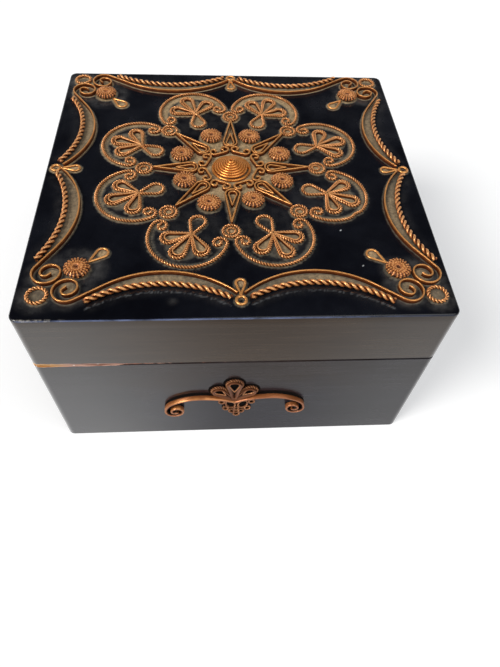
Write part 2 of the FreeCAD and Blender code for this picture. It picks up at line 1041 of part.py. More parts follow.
def border_strips():
    """Eight strips, two on each side of the lid."""
    found = []
    for side, half, origin, along, inward, spiral in border_halves():
        points = to_lid(strip_path(side, spiral), half, origin, along, inward)
        found.append(placed(ribbon(points, strip_thickness, strip_height), 0, UP * lid_top))
    return found


def border_ropes():
    """Eight ropes, two on each side of the lid."""
    found = []
    for side, half, origin, along, inward, spiral in border_halves():
        points = to_lid(rope_path(side, spiral), half, origin, along, inward)
        found.append(placed(rope(points, rope_radius), 0, UP * lid_top))
    return found


def knot_pieces(shape, above):
    """One copy at each side's knot, turned so that +X points inwards."""
    found = []
    for side in ("front", "back", "left", "right"):
        origin, _, inward = side_frame(side)
        turn = math.degrees(math.atan2(inward.y, inward.x))
        at = origin + inward * (side_inset(side, knot_inset) + above)
        found.append(placed(shape, turn, at + UP * lid_top))
    return found


def corner_pieces(shape, inset, beyond=0.0):
    """One copy in each corner, turned so that +X points to the lid's middle."""
    found = []
    for sign_x, sign_y in corner_shifts:
        turn = math.degrees(math.atan2(-sign_y, -sign_x))
        at = corner_place(sign_x, sign_y, inset, inset) + polar(beyond, turn)
        found.append(placed(shape, turn, at + UP * lid_top))
    return found


# Ornament on the front


def on_front(shape, x=0.0, z=0.0, tilt=0.0):
    """A flat shape, turned by a tilt and stood up against the front of the base."""
    copy = placed(shape, tilt)
    stand = Placement(
        Vector(x, -half_depth, ornament_level + z), Rotation(RIGHT, 90)
    )
    copy.Placement = stand.multiply(copy.Placement)
    return copy


def front_bow():
    """A strip bent into two arches that meet in a dip, with curled ends."""
    halves = []
    for side in (-1, 1):
        points = [Vector(-side * 0.2, 0, 0)]
        heading = run(points, 90 - side * (90 - bow_start_heading), 0.2)
        for radius, turn in bow_bends:
            heading = bend(points, heading, radius, -side * turn)
        halves.append(ribbon(points, strip_thickness, bow_proud))
    bow = halves[0].fuse(halves[1]).removeSplitter()
    return on_front(bow, bow_shift, 0.0, bow_tilt)


def crown_petals():
    """Three double loops of strip that fan out above the dip of the bow."""
    sizes = (
        (crown_middle_length, crown_middle_radius, 90.0),
        (crown_side_length, crown_side_radius, 90.0 - crown_side_angle),
        (crown_side_length, crown_side_radius, 90.0 + crown_side_angle),
    )
    outer = []
    inner = []
    for length, radius, angle in sizes:
        outer.append(petal(length, radius, strip_thickness, crown_proud, angle))
        step = strip_thickness + crown_strip_gap
        small_radius = radius - step
        middle = length - radius
        small_length = middle * small_radius / radius + small_radius
        small = drop(small_length, small_radius, strip_thickness, crown_proud)
        away = length - step - small_length
        inner.append(placed(off_middle(small, away), angle))
    crown = outer[0].multiFuse(outer[1:]).removeSplitter()
    return [on_front(piece, crown_shift, crown_lift) for piece in [crown] + inner]


def drop_cluster():
    """Rings of wire that taper to a point below the bow."""
    found = []
    for across, below, radius in drop_rings:
        loop = ring(radius, drop_wire, drop_proud)
        for side in (-1, 1) if across else (1,):
            found.append(on_front(loop, side * across, below))
    return found


# Assembly


def base_parts():
    """Everything that stays on the table."""
    boards = four_boards(base_height)
    rabbet = bottom_panel(0.0)
    holes = [stop_bevel()]
    for middle in hinge_middles():
        holes.append(mortise(middle))
        holes += [screw(place, screw_clearance) for place in screw_places(middle)]
    parts = {}
    for name, board in boards.items():
        board = board.cut(rabbet)
        board = rim_bevelled(board, base_height, base_rim_bevel)
        if name == "back":
            for hole in holes:
                board = board.cut(hole)
        parts[f"base_{name}_board"] = board
    parts["base_bottom_panel"] = bottom_panel(glue_clearance)
    pad_top = bottom_thickness + floor_pad_thickness
    parts["base_floor_pad"] = pad(bottom_thickness, pad_top, pad_top)
    middle_reach = middle_knuckle_length / 2 + knuckle_gap
    ends = (
        (-hinge_length / 2, -middle_reach),
        (middle_reach, hinge_length / 2),
    )
    middles = hinge_middles()
    parts["hinge_base_leaves"] = [leaf(x, ends, pin_radius + pin_fit) for x in middles]
    parts["hinge_pins"] = [hinge_pin(x) for x in middles]
    places = [place for x in middles for place in screw_places(x)]
    parts["hinge_base_screws"] = [screw(place, 0.0) for place in places]
    parts["front_bow"] = front_bow()
    parts["front_crown_petals"] = crown_petals()
    parts["front_drop_rings"] = drop_cluster()
    return parts


def lid_parts():
    """Everything that swings with the lid."""
    boards = four_boards(lid_height - top_thickness)
    holes = [flipped(stop_bevel())]
    for middle in hinge_middles():
        holes.append(flipped(mortise(middle)))
        holes += [flipped(screw(p, screw_clearance)) for p in screw_places(middle)]
    parts = {}
    for name, board in boards.items():
        board.translate(UP * base_height)
        board = rim_bevelled(board, base_height, lid_rim_bevel)
        if name == "back":
            for hole in holes:
                board = board.cut(hole)
        parts[f"lid_{name}_rail"] = board
    parts["lid_top_panel"] = top_panel()
    pad_low = rail_top - lid_pad_thickness
    parts["lid_pad"] = pad(pad_low, rail_top, pad_low)
    reach = middle_knuckle_length / 2
    bore = pin_radius + running_fit
    middles = hinge_middles()
    parts["hinge_lid_leaves"] = [flipped(leaf(x, ((-reach, reach),), bore)) for x in middles]
    places = [place for x in middles for place in screw_places(x)]
    parts["hinge_lid_screws"] = [flipped(screw(place, 0.0)) for place in places]
    return parts


def filigree_parts():
    """The wirework on top of the lid."""
    small_ring = ring(knot_ring_radius + fine_wire / 2, fine_wire, cord_height)
    small_loop = drop(knot_loop_length, knot_loop_radius, fine_wire, cord_height)
    corner_ring = ring(
        corner_ring_radius + cord_width * 0.7, cord_width * 1.3, cord_height * 1.3
    )
    corner_loop = drop(corner_loop_length, corner_loop_radius, fine_wire, cord_height)
    loop_lift = knot_ring_radius + fine_wire / 2 + ornament_gap
    button = rosette()
    tip_rings = off_middle(tip_ring(), tip_ring_distance())
    buttons = off_middle(button, rosette_distance())
    arcs = off_middle(medallion_arc(), medallion_distance)
    return {
        "boss_coil": placed(boss_coil(), 0, star_middle + UP * lid_top),
        "boss_scrolls": round_star(boss_scroll(), True),
        "star_points": star_points(),
        "star_inner_drops": star_inner_drops(),
        "star_tip_rings": round_star(tip_rings, False, tip_ring_shifts),
        "star_rosettes": round_star(buttons, True, rosette_shifts),
        "medallion_arcs": round_star(arcs, True, medallion_shifts),
        "medallion_flowers": flowers(),
        "border_strips": border_strips(),
        "border_ropes": border_ropes(),
        "border_knot_rings": knot_pieces(small_ring, 0.0),
        "border_knot_loops": knot_pieces(small_loop, loop_lift),
        "corner_rings": corner_pieces(corner_ring, corner_ring_inset),
        "corner_rosettes": corner_pieces(button, corner_rosette_inset),
        "corner_loops": corner_pieces(
            corner_loop, corner_rosette_inset, rosette_radius + ornament_gap
        ),
    }


def write(parts):
    """One STEP file per node, named after it."""
    os.makedirs("parts", exist_ok=True)
    for name, shape in parts.items():
        solids = shape if isinstance(shape, list) else shape.Solids
        whole = solids[0] if len(solids) == 1 else Part.makeCompound(solids)
        whole.exportStep(f"parts/{name}.step")
        print(f"{name}: {len(solids)} solids, {whole.Volume:.1f} mm3")


write(base_parts())
write(lid_parts())
write(filigree_parts())
print(f"least gap between turns of the boss wire: {boss_least_gap():.2f} mm")
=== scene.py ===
# %% [markdown]
# # A filigree jewellery box
# The real box is black lacquered wood with a deep hinged lid. Copper wire, some of
# it twisted into cord and some rolled flat, is bent into scrolls and petals and
# glued onto the lacquer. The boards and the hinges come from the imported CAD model
# as they are. The wirework is made again here from the same bends, because only a
# fine mesh shows the twist of a cord and the turns of a coil. So are the top board,
# which needs a fine grid for its stains, and the two soft pads.

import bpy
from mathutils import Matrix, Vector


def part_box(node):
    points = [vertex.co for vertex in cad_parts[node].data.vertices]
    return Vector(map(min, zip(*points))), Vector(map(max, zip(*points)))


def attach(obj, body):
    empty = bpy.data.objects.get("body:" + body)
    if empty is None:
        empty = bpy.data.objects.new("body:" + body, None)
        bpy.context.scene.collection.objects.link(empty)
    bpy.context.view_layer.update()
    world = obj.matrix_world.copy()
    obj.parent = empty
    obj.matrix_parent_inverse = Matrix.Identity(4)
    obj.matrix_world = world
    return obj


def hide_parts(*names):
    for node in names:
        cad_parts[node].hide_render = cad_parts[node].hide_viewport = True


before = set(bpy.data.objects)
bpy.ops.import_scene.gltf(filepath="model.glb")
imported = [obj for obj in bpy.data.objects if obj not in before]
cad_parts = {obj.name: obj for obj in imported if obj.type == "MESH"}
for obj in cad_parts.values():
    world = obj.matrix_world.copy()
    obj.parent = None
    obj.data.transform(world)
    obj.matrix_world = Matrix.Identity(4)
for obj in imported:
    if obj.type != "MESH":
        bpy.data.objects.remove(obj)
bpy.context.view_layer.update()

# %% Measures of the box, in millimetres
import math

import bpy
import numpy as np
from mathutils.kdtree import KDTree

MM = 0.001
hand = np.random.default_rng(11)


def corners(node):
    """Lowest and highest corner of a CAD node, in millimetres."""
    low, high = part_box(node)
    return np.array(low) / MM, np.array(high) / MM


panel_low, panel_high = corners("lid_top_panel")
half_width, half_depth, lid_top = (float(value) for value in panel_high)
rail_top = float(panel_low[2])
seam_level = float(corners("base_front_board")[1][2])
print("half width, half depth, lid top, seam:", half_width, half_depth, lid_top, seam_level)

# %% [markdown]
# ## Camera
# The photograph was taken from the front and rather high, so the lid is seen almost
# whole and the front is foreshortened. The camera could be placed by eye, but the
# box has known sizes, so its corners fix the camera: this place, turn and focal
# length put every corner of the box within a few pixels of the photograph.

# %% Camera
long_side_px = 667
focal_px = 532.0
sensor_mm = 36.0
camera_place_mm = (-8.63, -178.35, 225.07)
camera_turn_degrees = (35.114, -2.562, -2.957)

lens = bpy.data.cameras.new("camera")
lens.sensor_width = sensor_mm
lens.lens = sensor_mm * focal_px / long_side_px
lens.clip_start = 0.01
camera = bpy.data.objects.new("camera", lens)
camera.location = [value * MM for value in camera_place_mm]
camera.rotation_euler = [math.radians(value) for value in camera_turn_degrees]
bpy.context.scene.collection.objects.link(camera)
bpy.context.scene.camera = camera
print("focal length:", round(lens.lens, 2), "mm")

# %% [markdown]
# ## Shader nodes
# A material here is a small tree of nodes. Clicking one together by hand is slow to
# repeat, so this helper makes a node, fills its sockets with numbers or links and
# hands back its output. The same helper fills materials and shared groups.


# %% A short hand for node trees
class Nodes:
    """Makes nodes in one tree and links them as it goes."""

    def __init__(self, tree):
        self.tree = tree

    def feed(self, socket, value):
        """A link where value is another node's output, and a plain number otherwise."""
        if isinstance(value, bpy.types.NodeSocket):
            self.tree.links.new(value, socket)
        else:
            socket.default_value = value

    def fill(self, sockets, values):
        """Feeds several sockets by name."""
        for name, value in values.items():
            self.feed(sockets[name], value)

    def add(self, kind, values=None, **settings):
        """A node with its settings and its sockets filled."""
        node = self.tree.nodes.new(kind)
        for name, value in settings.items():
            setattr(node, name, value)
        self.fill(node.inputs, values or {})
        return node

    def group(self, name, values):
        """A shared group with its own values."""
        return self.add("ShaderNodeGroup", values, node_tree=bpy.data.node_groups[name]).outputs

    def math(self, operation, first, second=0.0):
        """One step of arithmetic."""
        return self.add("ShaderNodeMath", {0: first, 1: second}, operation=operation).outputs[0]

    def plus(self, first, *others):
        """The sum of the values."""
        for value in others:
            first = self.math("ADD", first, value)
        return first

    def times(self, first, *others):
        """The product of the values."""
        for value in others:
            first = self.math("MULTIPLY", first, value)
        return first

    def swing(self, value, reach=1.0):
        """A value around a half, turned into one that swings round zero."""
        return self.times(self.math("SUBTRACT", value, 0.5), reach)

    def blend(self, share, first, second):
        """A colour between two others."""
        node = self.add("ShaderNodeMix", data_type="RGBA")
        self.fill(node.inputs, {0: share, 6: first, 7: second})
        return node.outputs[2]

    def ease(self, value, start, end, low=0.0, high=1.0):
        """A smooth step from low to high while value goes from start to end."""
        values = {"Value": value, "From Min": start, "From Max": end, "To Min": low, "To Max": high}
        return self.add("ShaderNodeMapRange", values, interpolation_type="SMOOTHSTEP").outputs[0]

    def where(self, stretch=(1, 1, 1)):
        """The point on the piece in millimetres, stretched along its axes."""
        place = self.add("ShaderNodeTexCoord").outputs["Object"]
        scale = [value / MM for value in stretch]
        return self.add("ShaderNodeMapping", {"Vector": place, "Scale": scale}).outputs[0]

    def axes(self):
        """The point on the piece in millimetres, as X, Y and Z."""
        return self.add("ShaderNodeSeparateXYZ", {0: self.where()}).outputs

    def noise(self, scale, detail=3.0, stretch=(1, 1, 1), roughness=0.5):
        """Cloudy noise, with features about 1 / scale millimetres across."""
        values = {"Vector": self.where(stretch), "Scale": scale, "Detail": detail}
        return self.add("ShaderNodeTexNoise", {**values, "Roughness": roughness}).outputs["Fac"]

    def per_point(self, name):
        """A value that the mesh keeps for each of its points."""
        return self.add("ShaderNodeAttribute", attribute_name=name).outputs["Fac"]

    def bumped(self, height, strength, distance_mm):
        """The normal of a surface with small bumps."""
        values = {"Height": height, "Strength": strength, "Distance": distance_mm * MM}
        return self.add("ShaderNodeBump", values).outputs[0]


def new_group(name, inputs, *outputs):
    """A shader node group with named sockets, ready to be filled."""
    tree = bpy.data.node_groups.new(name, "ShaderNodeTree")
    for label, value in inputs.items():
        kind = "NodeSocketColor" if isinstance(value, tuple) else "NodeSocketFloat"
        tree.interface.new_socket(name=label, in_out="INPUT", socket_type=kind).default_value = value
    for label in outputs:
        kind = "NodeSocketColor" if label == "Color" else "NodeSocketFloat"
        tree.interface.new_socket(name=label, in_out="OUTPUT", socket_type=kind)
    nodes = Nodes(tree)
    return nodes, nodes.add("NodeGroupInput").outputs, nodes.add("NodeGroupOutput").inputs


def new_material(name):
    """An empty material, its nodes and the sockets of its Principled shader."""
    material = bpy.data.materials.new(name)
    material.use_nodes = True
    return material, Nodes(material.node_tree), material.node_tree.nodes["Principled BSDF"].inputs


def rgb(red, green, blue):
    """A colour as a screen shows it, 0 to 255, turned into the linear values of a socket."""
    shares = [value / 255 for value in (red, green, blue)]
    return (*(s / 12.92 if s < 0.04045 else ((s + 0.055) / 1.055) ** 2.4 for s in shares), 1.0)


print("half grey on a screen is", round(rgb(128, 128, 128)[0], 3), "in linear light")


# %% [markdown]
# ## Studio
# The box stands on a white table. A broad lamp from the front left is the window and a
# weaker one from the right fills the shadows. The lid is a black mirror that mirrors a
# dim ceiling, while the front mirrors the white table, so the sky is white only round
# the horizon. The table glows a little where it is looked at or mirrored, which makes
# it white without more light on the box, and it keeps the box's shadow.

# %% Sky, lamps and table
sky_horizon = (0.95, 0.97, 1.0, 1.0)
sky_overhead = (0.035, 0.038, 0.048, 1.0)
table_half = 4.0
table_glow = 0.42

bpy.context.scene.view_settings.view_transform = "Standard"
world = bpy.data.worlds.new("studio")
world.use_nodes = True
bpy.context.scene.world = world
sky = Nodes(world.node_tree)
direction = sky.add("ShaderNodeTexCoord").outputs["Generated"]
height = sky.add("ShaderNodeSeparateXYZ", {0: direction}).outputs["Z"]
sky_colour = sky.blend(sky.ease(height, 0.15, 0.42), sky_horizon, sky_overhead)
sky.feed(world.node_tree.nodes["Background"].inputs["Color"], sky_colour)


def sun(name, strength, spread, tilt, bearing, colour):
    """A far lamp: tilt is its angle from overhead, bearing where it stands, from the front."""
    data = bpy.data.lights.new(name, "SUN")
    data.energy = strength
    data.angle = math.radians(spread)
    data.color = colour
    lamp = bpy.data.objects.new(name, data)
    lamp.rotation_euler = (math.radians(tilt), 0, math.radians(bearing))
    bpy.context.scene.collection.objects.link(lamp)


sun("key", 2.6, 26, 48, -62, (1.0, 0.985, 0.96))
sun("fill", 1.1, 50, 30, 50, (0.96, 0.98, 1.0))

table_mesh = bpy.data.meshes.new("table")
table_edge = [(table_half * x, table_half * y, 0) for x, y in ((-1, -1), (1, -1), (1, 1), (-1, 1))]
table_mesh.from_pydata(table_edge, [], [(0, 1, 2, 3)])
table = bpy.data.objects.new("table", table_mesh)
bpy.context.scene.collection.objects.link(table)

paper, nodes, shader = new_material("white_paper")
grain = nodes.ease(nodes.noise(0.8), 0.3, 0.7)
ray = nodes.add("ShaderNodeLightPath").outputs
looked_at = nodes.math("MAXIMUM", ray["Is Camera Ray"], ray["Is Glossy Ray"])
nodes.fill(
    shader,
    {
        "Base Color": nodes.blend(grain, rgb(212, 212, 212), rgb(216, 216, 216)),
        "Roughness": 0.9,
        "Specular IOR Level": 0.1,
        "Emission Color": (1, 1, 1, 1),
        "Emission Strength": nodes.times(looked_at, table_glow),
    },
)
table_mesh.materials.append(paper)
print("studio ready")

# %% [markdown]
# ## How a wire is made
# A goldsmith bends wire round pegs: a straight run, a round bend, the next run. The
# pen below does the same in the plane. Bezier curves could trace the shapes too, but
# runs and bends keep the radii of the real pegs, and the box's CAD was drawn so.

# %% Drawing a wire's line
pen_step = 0.3


def polar(radius, angle):
    """A point at a distance and a bearing from the origin."""
    return np.array([radius * math.cos(math.radians(angle)), radius * math.sin(math.radians(angle))])


def bearing_of(way):
    """The bearing of a direction, in degrees."""
    return math.degrees(math.atan2(way[1], way[0]))


class Pen:
    """Draws runs and bends in the plane, one after another."""

    def __init__(self, start=(0.0, 0.0), heading=0.0):
        self.points = [np.array(start, float)]
        self.heading = heading

    def run(self, length):
        """Goes straight on."""
        count = max(1, round(length / pen_step))
        start = self.points[-1]
        for step in range(1, count + 1):
            self.points.append(start + polar(length * step / count, self.heading))
        return self

    def bend(self, radius, turn):
        """Goes round an arc, to the left where turn is positive."""
        side = 90 if turn > 0 else -90
        middle = self.points[-1] + polar(radius, self.heading + side)
        count = max(3, round(radius * math.radians(abs(turn)) / pen_step))
        for step in range(1, count + 1):
            angle = self.heading - side + turn * step / count
            self.points.append(middle + polar(radius, angle))
        self.heading += turn
        return self

    def curl(self, radii, turns, side):
        """Winds inwards through bends of shrinking radius."""
        for radius, turn in zip(radii, turns):
            self.bend(radius, side * turn)
        return self

    def line(self):
        """The points so far."""
        return np.array(self.points)


def teardrop(reach, radius):
    """A closed loop with its point at the origin and its round end along +X."""
    middle = reach - radius
    lean = math.degrees(math.asin(radius / middle))
    side = math.sqrt(middle**2 - radius**2)
    return Pen((0, 0), -lean).run(side).bend(radius, 180 + 2 * lean).run(side).line()[:-1]


def round_loop(radius):
    """A closed circle."""
    return Pen((radius, 0), 90).bend(radius, 360).line()[:-1]


def moved(line, turn=0.0, at=(0.0, 0.0)):
    """The line turned about the origin and then moved."""
    along, across = polar(1, turn), polar(1, turn + 90)
    return line[:, :1] * along + line[:, 1:2] * across + np.array(at)


def raised(line, level):
    """A flat line lifted to a level."""
    return np.hstack([line, np.full((len(line), 1), float(level))])


def even(line, step, closed):
    """The line with points an even step apart, how far along each lies and the whole length."""
    whole = np.vstack([line, line[:1]]) if closed else line
    steps = np.linalg.norm(np.diff(whole, axis=0), axis=1)
    lengths = np.concatenate([[0.0], np.cumsum(steps)])
    count = max(3, round(lengths[-1] / step))
    at = np.linspace(0, lengths[-1], count + 1)
    if closed:
        at = at[:-1]
    columns = [np.interp(at, lengths, whole[:, axis]) for axis in range(2)]
    return np.stack(columns, 1), at, lengths[-1]


print("a teardrop of 20 by 3 mm has", len(teardrop(20, 3)), "points")

# %% [markdown]
# ## Three kinds of wire
# Round wire, flat strip stood on its edge, and cord of two round wires twisted
# together are all one section swept along a line. A curve object with a bevel would
# do for the first. The twist needs two lines that wind round each other, so all
# three are swept as meshes, and each point keeps its share of the wire's height. The
# finish uses that share: crests are rubbed bright and the grooves stay dark.


# %% Sweeping wires into a mesh
def unit(vectors):
    """The vectors at length one."""
    return vectors / np.linalg.norm(vectors, axis=1, keepdims=True)


def eased(value, start, end):
    """A smooth step from 0 to 1 while value goes from start to end."""
    share = np.clip((value - start) / (end - start), 0, 1)
    return share * share * (3 - 2 * share)


def ahead_of(line, closed):
    """The direction of a line at each of its points."""
    if closed:
        return unit(np.roll(line, -1, 0) - np.roll(line, 1, 0))
    return unit(np.gradient(line, axis=0))


def flat_frame(line, closed):
    """Sideways and upward directions of a line that lies nearly flat."""
    ahead = ahead_of(line, closed)
    side = unit(np.cross(np.array([[0.0, 0.0, 1.0]]), ahead))
    return side, np.cross(ahead, side)


def round_section(radius, sides):
    """A round wire's section."""
    angles = 2 * np.pi * (np.arange(sides) + 0.5) / sides
    return radius * np.stack([np.cos(angles), np.sin(angles)], 1)


def strip_section(thickness, height, ease=0.18):
    """A flat strip on its edge, with eased upper corners."""
    half = thickness / 2
    low = ease * 0.3
    right = [(half, 0.0), (half, height - ease), (half - low, height - low), (half - ease, height)]
    left = [(-x, y) for x, y in right[::-1]]
    return np.array(right + left)


strip_rub = np.array([0.0, 0.5, 0.85, 1.0, 1.0, 0.85, 0.5, 0.0])


class Wirework:
    """Wires gathered into one mesh that lies on z = 0."""

    def __init__(self):
        self.points = []
        self.faces = []
        self.crests = []
        self.count = 0

    def sweep(self, line, side, up, section, closed, tall, rub=1.0, swell=1.0):
        """Adds a section swept along a line, with side and up as its axes."""
        swell = np.broadcast_to(swell, len(line))[:, None, None]
        across = side[:, None, :] * section[None, :, :1] * swell
        rings = line[:, None, :] + across + up[:, None, :] * section[None, :, 1:2] * swell
        rows, columns = rings.shape[:2]
        first = np.arange(rows if closed else rows - 1)[:, None]
        here = first * columns
        there = (first + 1) % rows * columns
        step = np.arange(columns)[None, :]
        after = (step + 1) % columns
        quads = np.stack([here + step, here + after, there + after, there + step], -1)
        self.faces += (quads.reshape(-1, 4) + self.count).tolist()
        if not closed:
            self.faces.append([self.count + index for index in range(columns)][::-1])
            last = self.count + (rows - 1) * columns
            self.faces.append([last + index for index in range(columns)])
        self.points.append(rings.reshape(-1, 3))
        self.crests.append((np.clip(rings[..., 2] / tall, 0, 1) ** 0.5 * rub).reshape(-1))
        self.count += rows * columns

    def wire(self, line, radius, closed=False, lift=0.0, sides=8):
        """Round wire along a flat line."""
        line = raised(line, radius + lift)
        self.sweep(line, *flat_frame(line, closed), round_section(radius, sides), closed, 2 * radius + lift)

    def strip(self, line, thickness, height, closed=False):
        """Flat strip on its edge along a flat line."""
        line = raised(line, 0)
        section = strip_section(thickness, height)
        self.sweep(line, *flat_frame(line, closed), section, closed, height, strip_rub)

    def cord(self, line, strand, pitch, closed=False, sides=6, per_turn=10):
        """Two round wires twisted together along a flat line."""
        line, at, whole = even(line, pitch / per_turn, closed)
        turns = round(whole / pitch) if closed else whole / pitch
        middle = raised(line, 2 * strand)
        side, up = flat_frame(middle, closed)
        section = round_section(strand, sides)
        groove = 0.3 + 0.7 * eased(section[:, 0] / strand, -0.3, 0.8)
        start = hand.uniform(0, 2 * np.pi)
        for half_turn in (0.0, np.pi):
            angle = (start + half_turn + 2 * np.pi * turns * at / whole)[:, None]
            out = side * np.cos(angle) + up * np.sin(angle)
            strand_line = middle + strand * out
            ahead = ahead_of(strand_line, closed)
            normal = unit(out - ahead * np.sum(out * ahead, 1, keepdims=True))
            self.sweep(strand_line, normal, np.cross(ahead, normal), section, closed, 4 * strand, groove)

    def plate(self, line, level):
        """A thin plate inside a loop."""
        self.points.append(raised(line, level))
        self.crests.append(np.zeros(len(line)))
        self.faces.append([self.count + index for index in range(len(line))])
        self.count += len(line)

    def put(self, other, turn=0.0, at=(0.0, 0.0)):
        """Adds a copy of other wirework, turned and moved."""
        for points in other.points:
            self.points.append(np.hstack([moved(points[:, :2], turn, at), points[:, 2:]]))
        self.faces += [[index + self.count for index in face] for face in other.faces]
        self.crests += other.crests
        self.count += other.count


def finish_piece(name, points_mm, faces, materials, body, nodes, values, picks=None):
    """A piece of the box from its points, with per-point values for its finish."""
    mesh = bpy.data.meshes.new(name)
    mesh.from_pydata((points_mm * MM).tolist(), [], faces)
    mesh.shade_smooth()
    mesh.set_sharp_from_angle(angle=math.radians(48))
    for label, numbers in values.items():
        layer = mesh.attributes.new(label, "FLOAT", "POINT")
        layer.data.foreach_set("value", np.asarray(numbers, np.float32))
    for material in materials:
        mesh.materials.append(material)
    if picks is not None:
        mesh.polygons.foreach_set("material_index", picks)
    piece = bpy.data.objects.new(name, mesh)
    bpy.context.scene.collection.objects.link(piece)
    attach(piece, body)
    if nodes:
        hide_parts(*nodes)
    print(name, len(mesh.vertices), "points,", len(mesh.polygons), "faces")
    return piece


def finish_wirework(name, work, points, material, body, *nodes):
    """Wirework in its place, with the height shares for its finish."""
    values = {"crest": np.concatenate(work.crests)}
    finish_piece(name, points, work.faces, (material,), body, nodes, values)


lid_wire_points = []


def lay_on_lid(name, work, material, *nodes, filmed=True):
    """Wirework glued on the lid; its points are kept for the glue film."""
    points = np.vstack(work.points) + np.array([0, 0, lid_top])
    if filmed:
        lid_wire_points.append(points[:, :2])
    finish_wirework(name, work, points, material, "lid", *nodes)


# %% [markdown]
# ## Old copper
# The wire is copper that was darkened and then rubbed: crests are golden, sides are
# warm brown, and the grooves where the wire meets the lacquer stay nearly black. One
# group turns the height share of each point and some noise into that colour, and the
# cord, strip, coil, boss and front finishes use it with their own colours.

# %% The rubbed copper group
nodes, given, made = new_group(
    "rubbed_metal",
    {
        "Dark": (0.02, 0.01, 0.005, 1.0),
        "Body": (0.3, 0.1, 0.04, 1.0),
        "Bright": (0.8, 0.4, 0.15, 1.0),
        "Rub": 0.6,
    },
    "Color",
    "Roughness",
    "Height",
)
patchy = nodes.swing(nodes.noise(0.35, 2.0), 0.5)
fine = nodes.noise(3.0, 2.0)
lifted = nodes.plus(nodes.per_point("crest"), patchy, nodes.swing(fine, 0.25))
rub_start = nodes.math("SUBTRACT", 1.0, given["Rub"])
bright_share = nodes.ease(lifted, rub_start, nodes.plus(rub_start, 0.45))
base = nodes.blend(nodes.ease(lifted, 0.1, 0.6), given["Dark"], given["Body"])
nodes.feed(made["Color"], nodes.blend(bright_share, base, given["Bright"]))
nodes.feed(made["Roughness"], nodes.ease(lifted, 0.1, 0.9, 0.55, 0.3))
nodes.feed(made["Height"], fine)


def copper(name, dark, body, bright, rub, metallic):
    """A rubbed copper finish."""
    material, nodes, shader = new_material(name)
    colours = {"Dark": rgb(*dark), "Body": rgb(*body), "Bright": rgb(*bright)}
    group = nodes.group("rubbed_metal", {**colours, "Rub": rub})
    nodes.fill(shader, {"Base Color": group["Color"], "Roughness": group["Roughness"]})
    nodes.fill(shader, {"Normal": nodes.bumped(group["Height"], 0.25, 0.06), "Metallic": metallic})
    return material


cord_copper = copper("cord_copper", (54, 23, 8), (172, 97, 44), (240, 172, 108), 0.5, 0.5)
strip_copper = copper("strip_copper", (80, 36, 15), (164, 92, 40), (246, 174, 100), 0.5, 0.6)
coil_copper = copper("coil_copper", (66, 29, 11), (194, 121, 66), (244, 176, 110), 0.45, 0.35)
boss_copper = copper("boss_copper", (60, 24, 8), (188, 98, 38), (246, 162, 80), 0.45, 0.7)
# The finishes of the front ornament are darker copies of the copper with near-black darks: painted shade.
dark_copper = copper("dark_copper", (14, 7, 5), (114, 67, 38), (208, 142, 90), 0.3, 0.5)
bow_copper = copper("bow_copper", (8, 5, 4), (150, 88, 46), (216, 146, 84), 0.3, 0.45)
print("copper finishes ready")

# %% [markdown]
# ## Boss and scrolls
# The boss is one wire wound into a low cone, like a rope coiled on a deck, with a
# heavier ring at its foot. Eight pairs of little scrolls stand round it. The coil is
# a formula: the radius shrinks and the level rises evenly with the angle.

# %% Boss and scrolls
star_middle = np.array([-0.7, 2.0])
petal_count = 8
half_step = 180.0 / petal_count
strip_thickness = 0.8
boss_foot_radius = 8.1
boss_foot_wire = 0.55
boss_height = 5.0
boss_wire_radius = 0.52
boss_turn_count = 7.2
boss_tip_radius = 0.35
boss_rubbed_way = np.array([-0.55, 0.83])
scroll_gap = 1.8
scroll_radius = 1.6
scroll_inner_radius = 0.95

boss = Wirework()
foot = moved(round_loop(boss_foot_radius - boss_foot_wire), 0, star_middle)
boss.wire(foot, boss_foot_wire, True, sides=10)
turns = np.linspace(0, boss_turn_count, int(boss_turn_count * 60))
share = turns / boss_turn_count
coil_radius = (boss_foot_radius - 1.2) * (1 - share) + boss_tip_radius * share
coil_level = boss_wire_radius + 0.35 + (boss_height - 2 * boss_wire_radius - 0.4) * share
coil_turn = 2 * np.pi * turns
coil_line = np.stack([coil_radius * np.cos(coil_turn), coil_radius * np.sin(coil_turn), coil_level], 1)
coil_line[:, :2] += star_middle
coil_section = round_section(boss_wire_radius, 10)
coil_rub = 0.45 + 0.55 * eased(unit(coil_section) @ boss_rubbed_way, 0.0, 0.9)
boss.sweep(coil_line, *flat_frame(coil_line, False), coil_section, False, 1.0, coil_rub)
lay_on_lid("boss", boss, boss_copper, "boss_coil")

scroll_reach = boss_foot_radius + scroll_gap + scroll_radius + strip_thickness / 2
scroll_across = scroll_reach * math.sin(math.radians(half_step / 2))
scroll_level = scroll_reach * math.cos(math.radians(half_step / 2)) - scroll_radius


def spot(distance, index, between=False):
    """Bearing and place of one of the eight pieces round the star."""
    angle = 2 * half_step * (index + (0.5 if between else 0.0))
    return angle, star_middle + polar(distance, angle)


scroll = Wirework()
for side in (-1, 1):
    pen = Pen((scroll_level, 0), side * 90).run(scroll_across)
    pen.curl((scroll_radius, scroll_inner_radius), (180, 150), -side)
    scroll.strip(pen.line(), 0.75, 1.6)
scrolls = Wirework()
for index in range(petal_count):
    scrolls.put(scroll, spot(0, index, True)[0] + hand.normal(0, 1.0), star_middle)
lay_on_lid("scrolls", scrolls, strip_copper, "boss_scrolls")

# %% [markdown]
# ## Star points, tip rings and rosettes
# Each star point is a long teardrop of strip with a smaller one inside, and a ring of
# cord wound twice at its tip. A rosette is beaded wire wound round and round a small
# ring, so it is a line that runs round a torus many times while it goes round once.
# The spots of glue film, haze and chipped lacquer that belong to a piece are noted
# here with it, and painted on the top board further down.

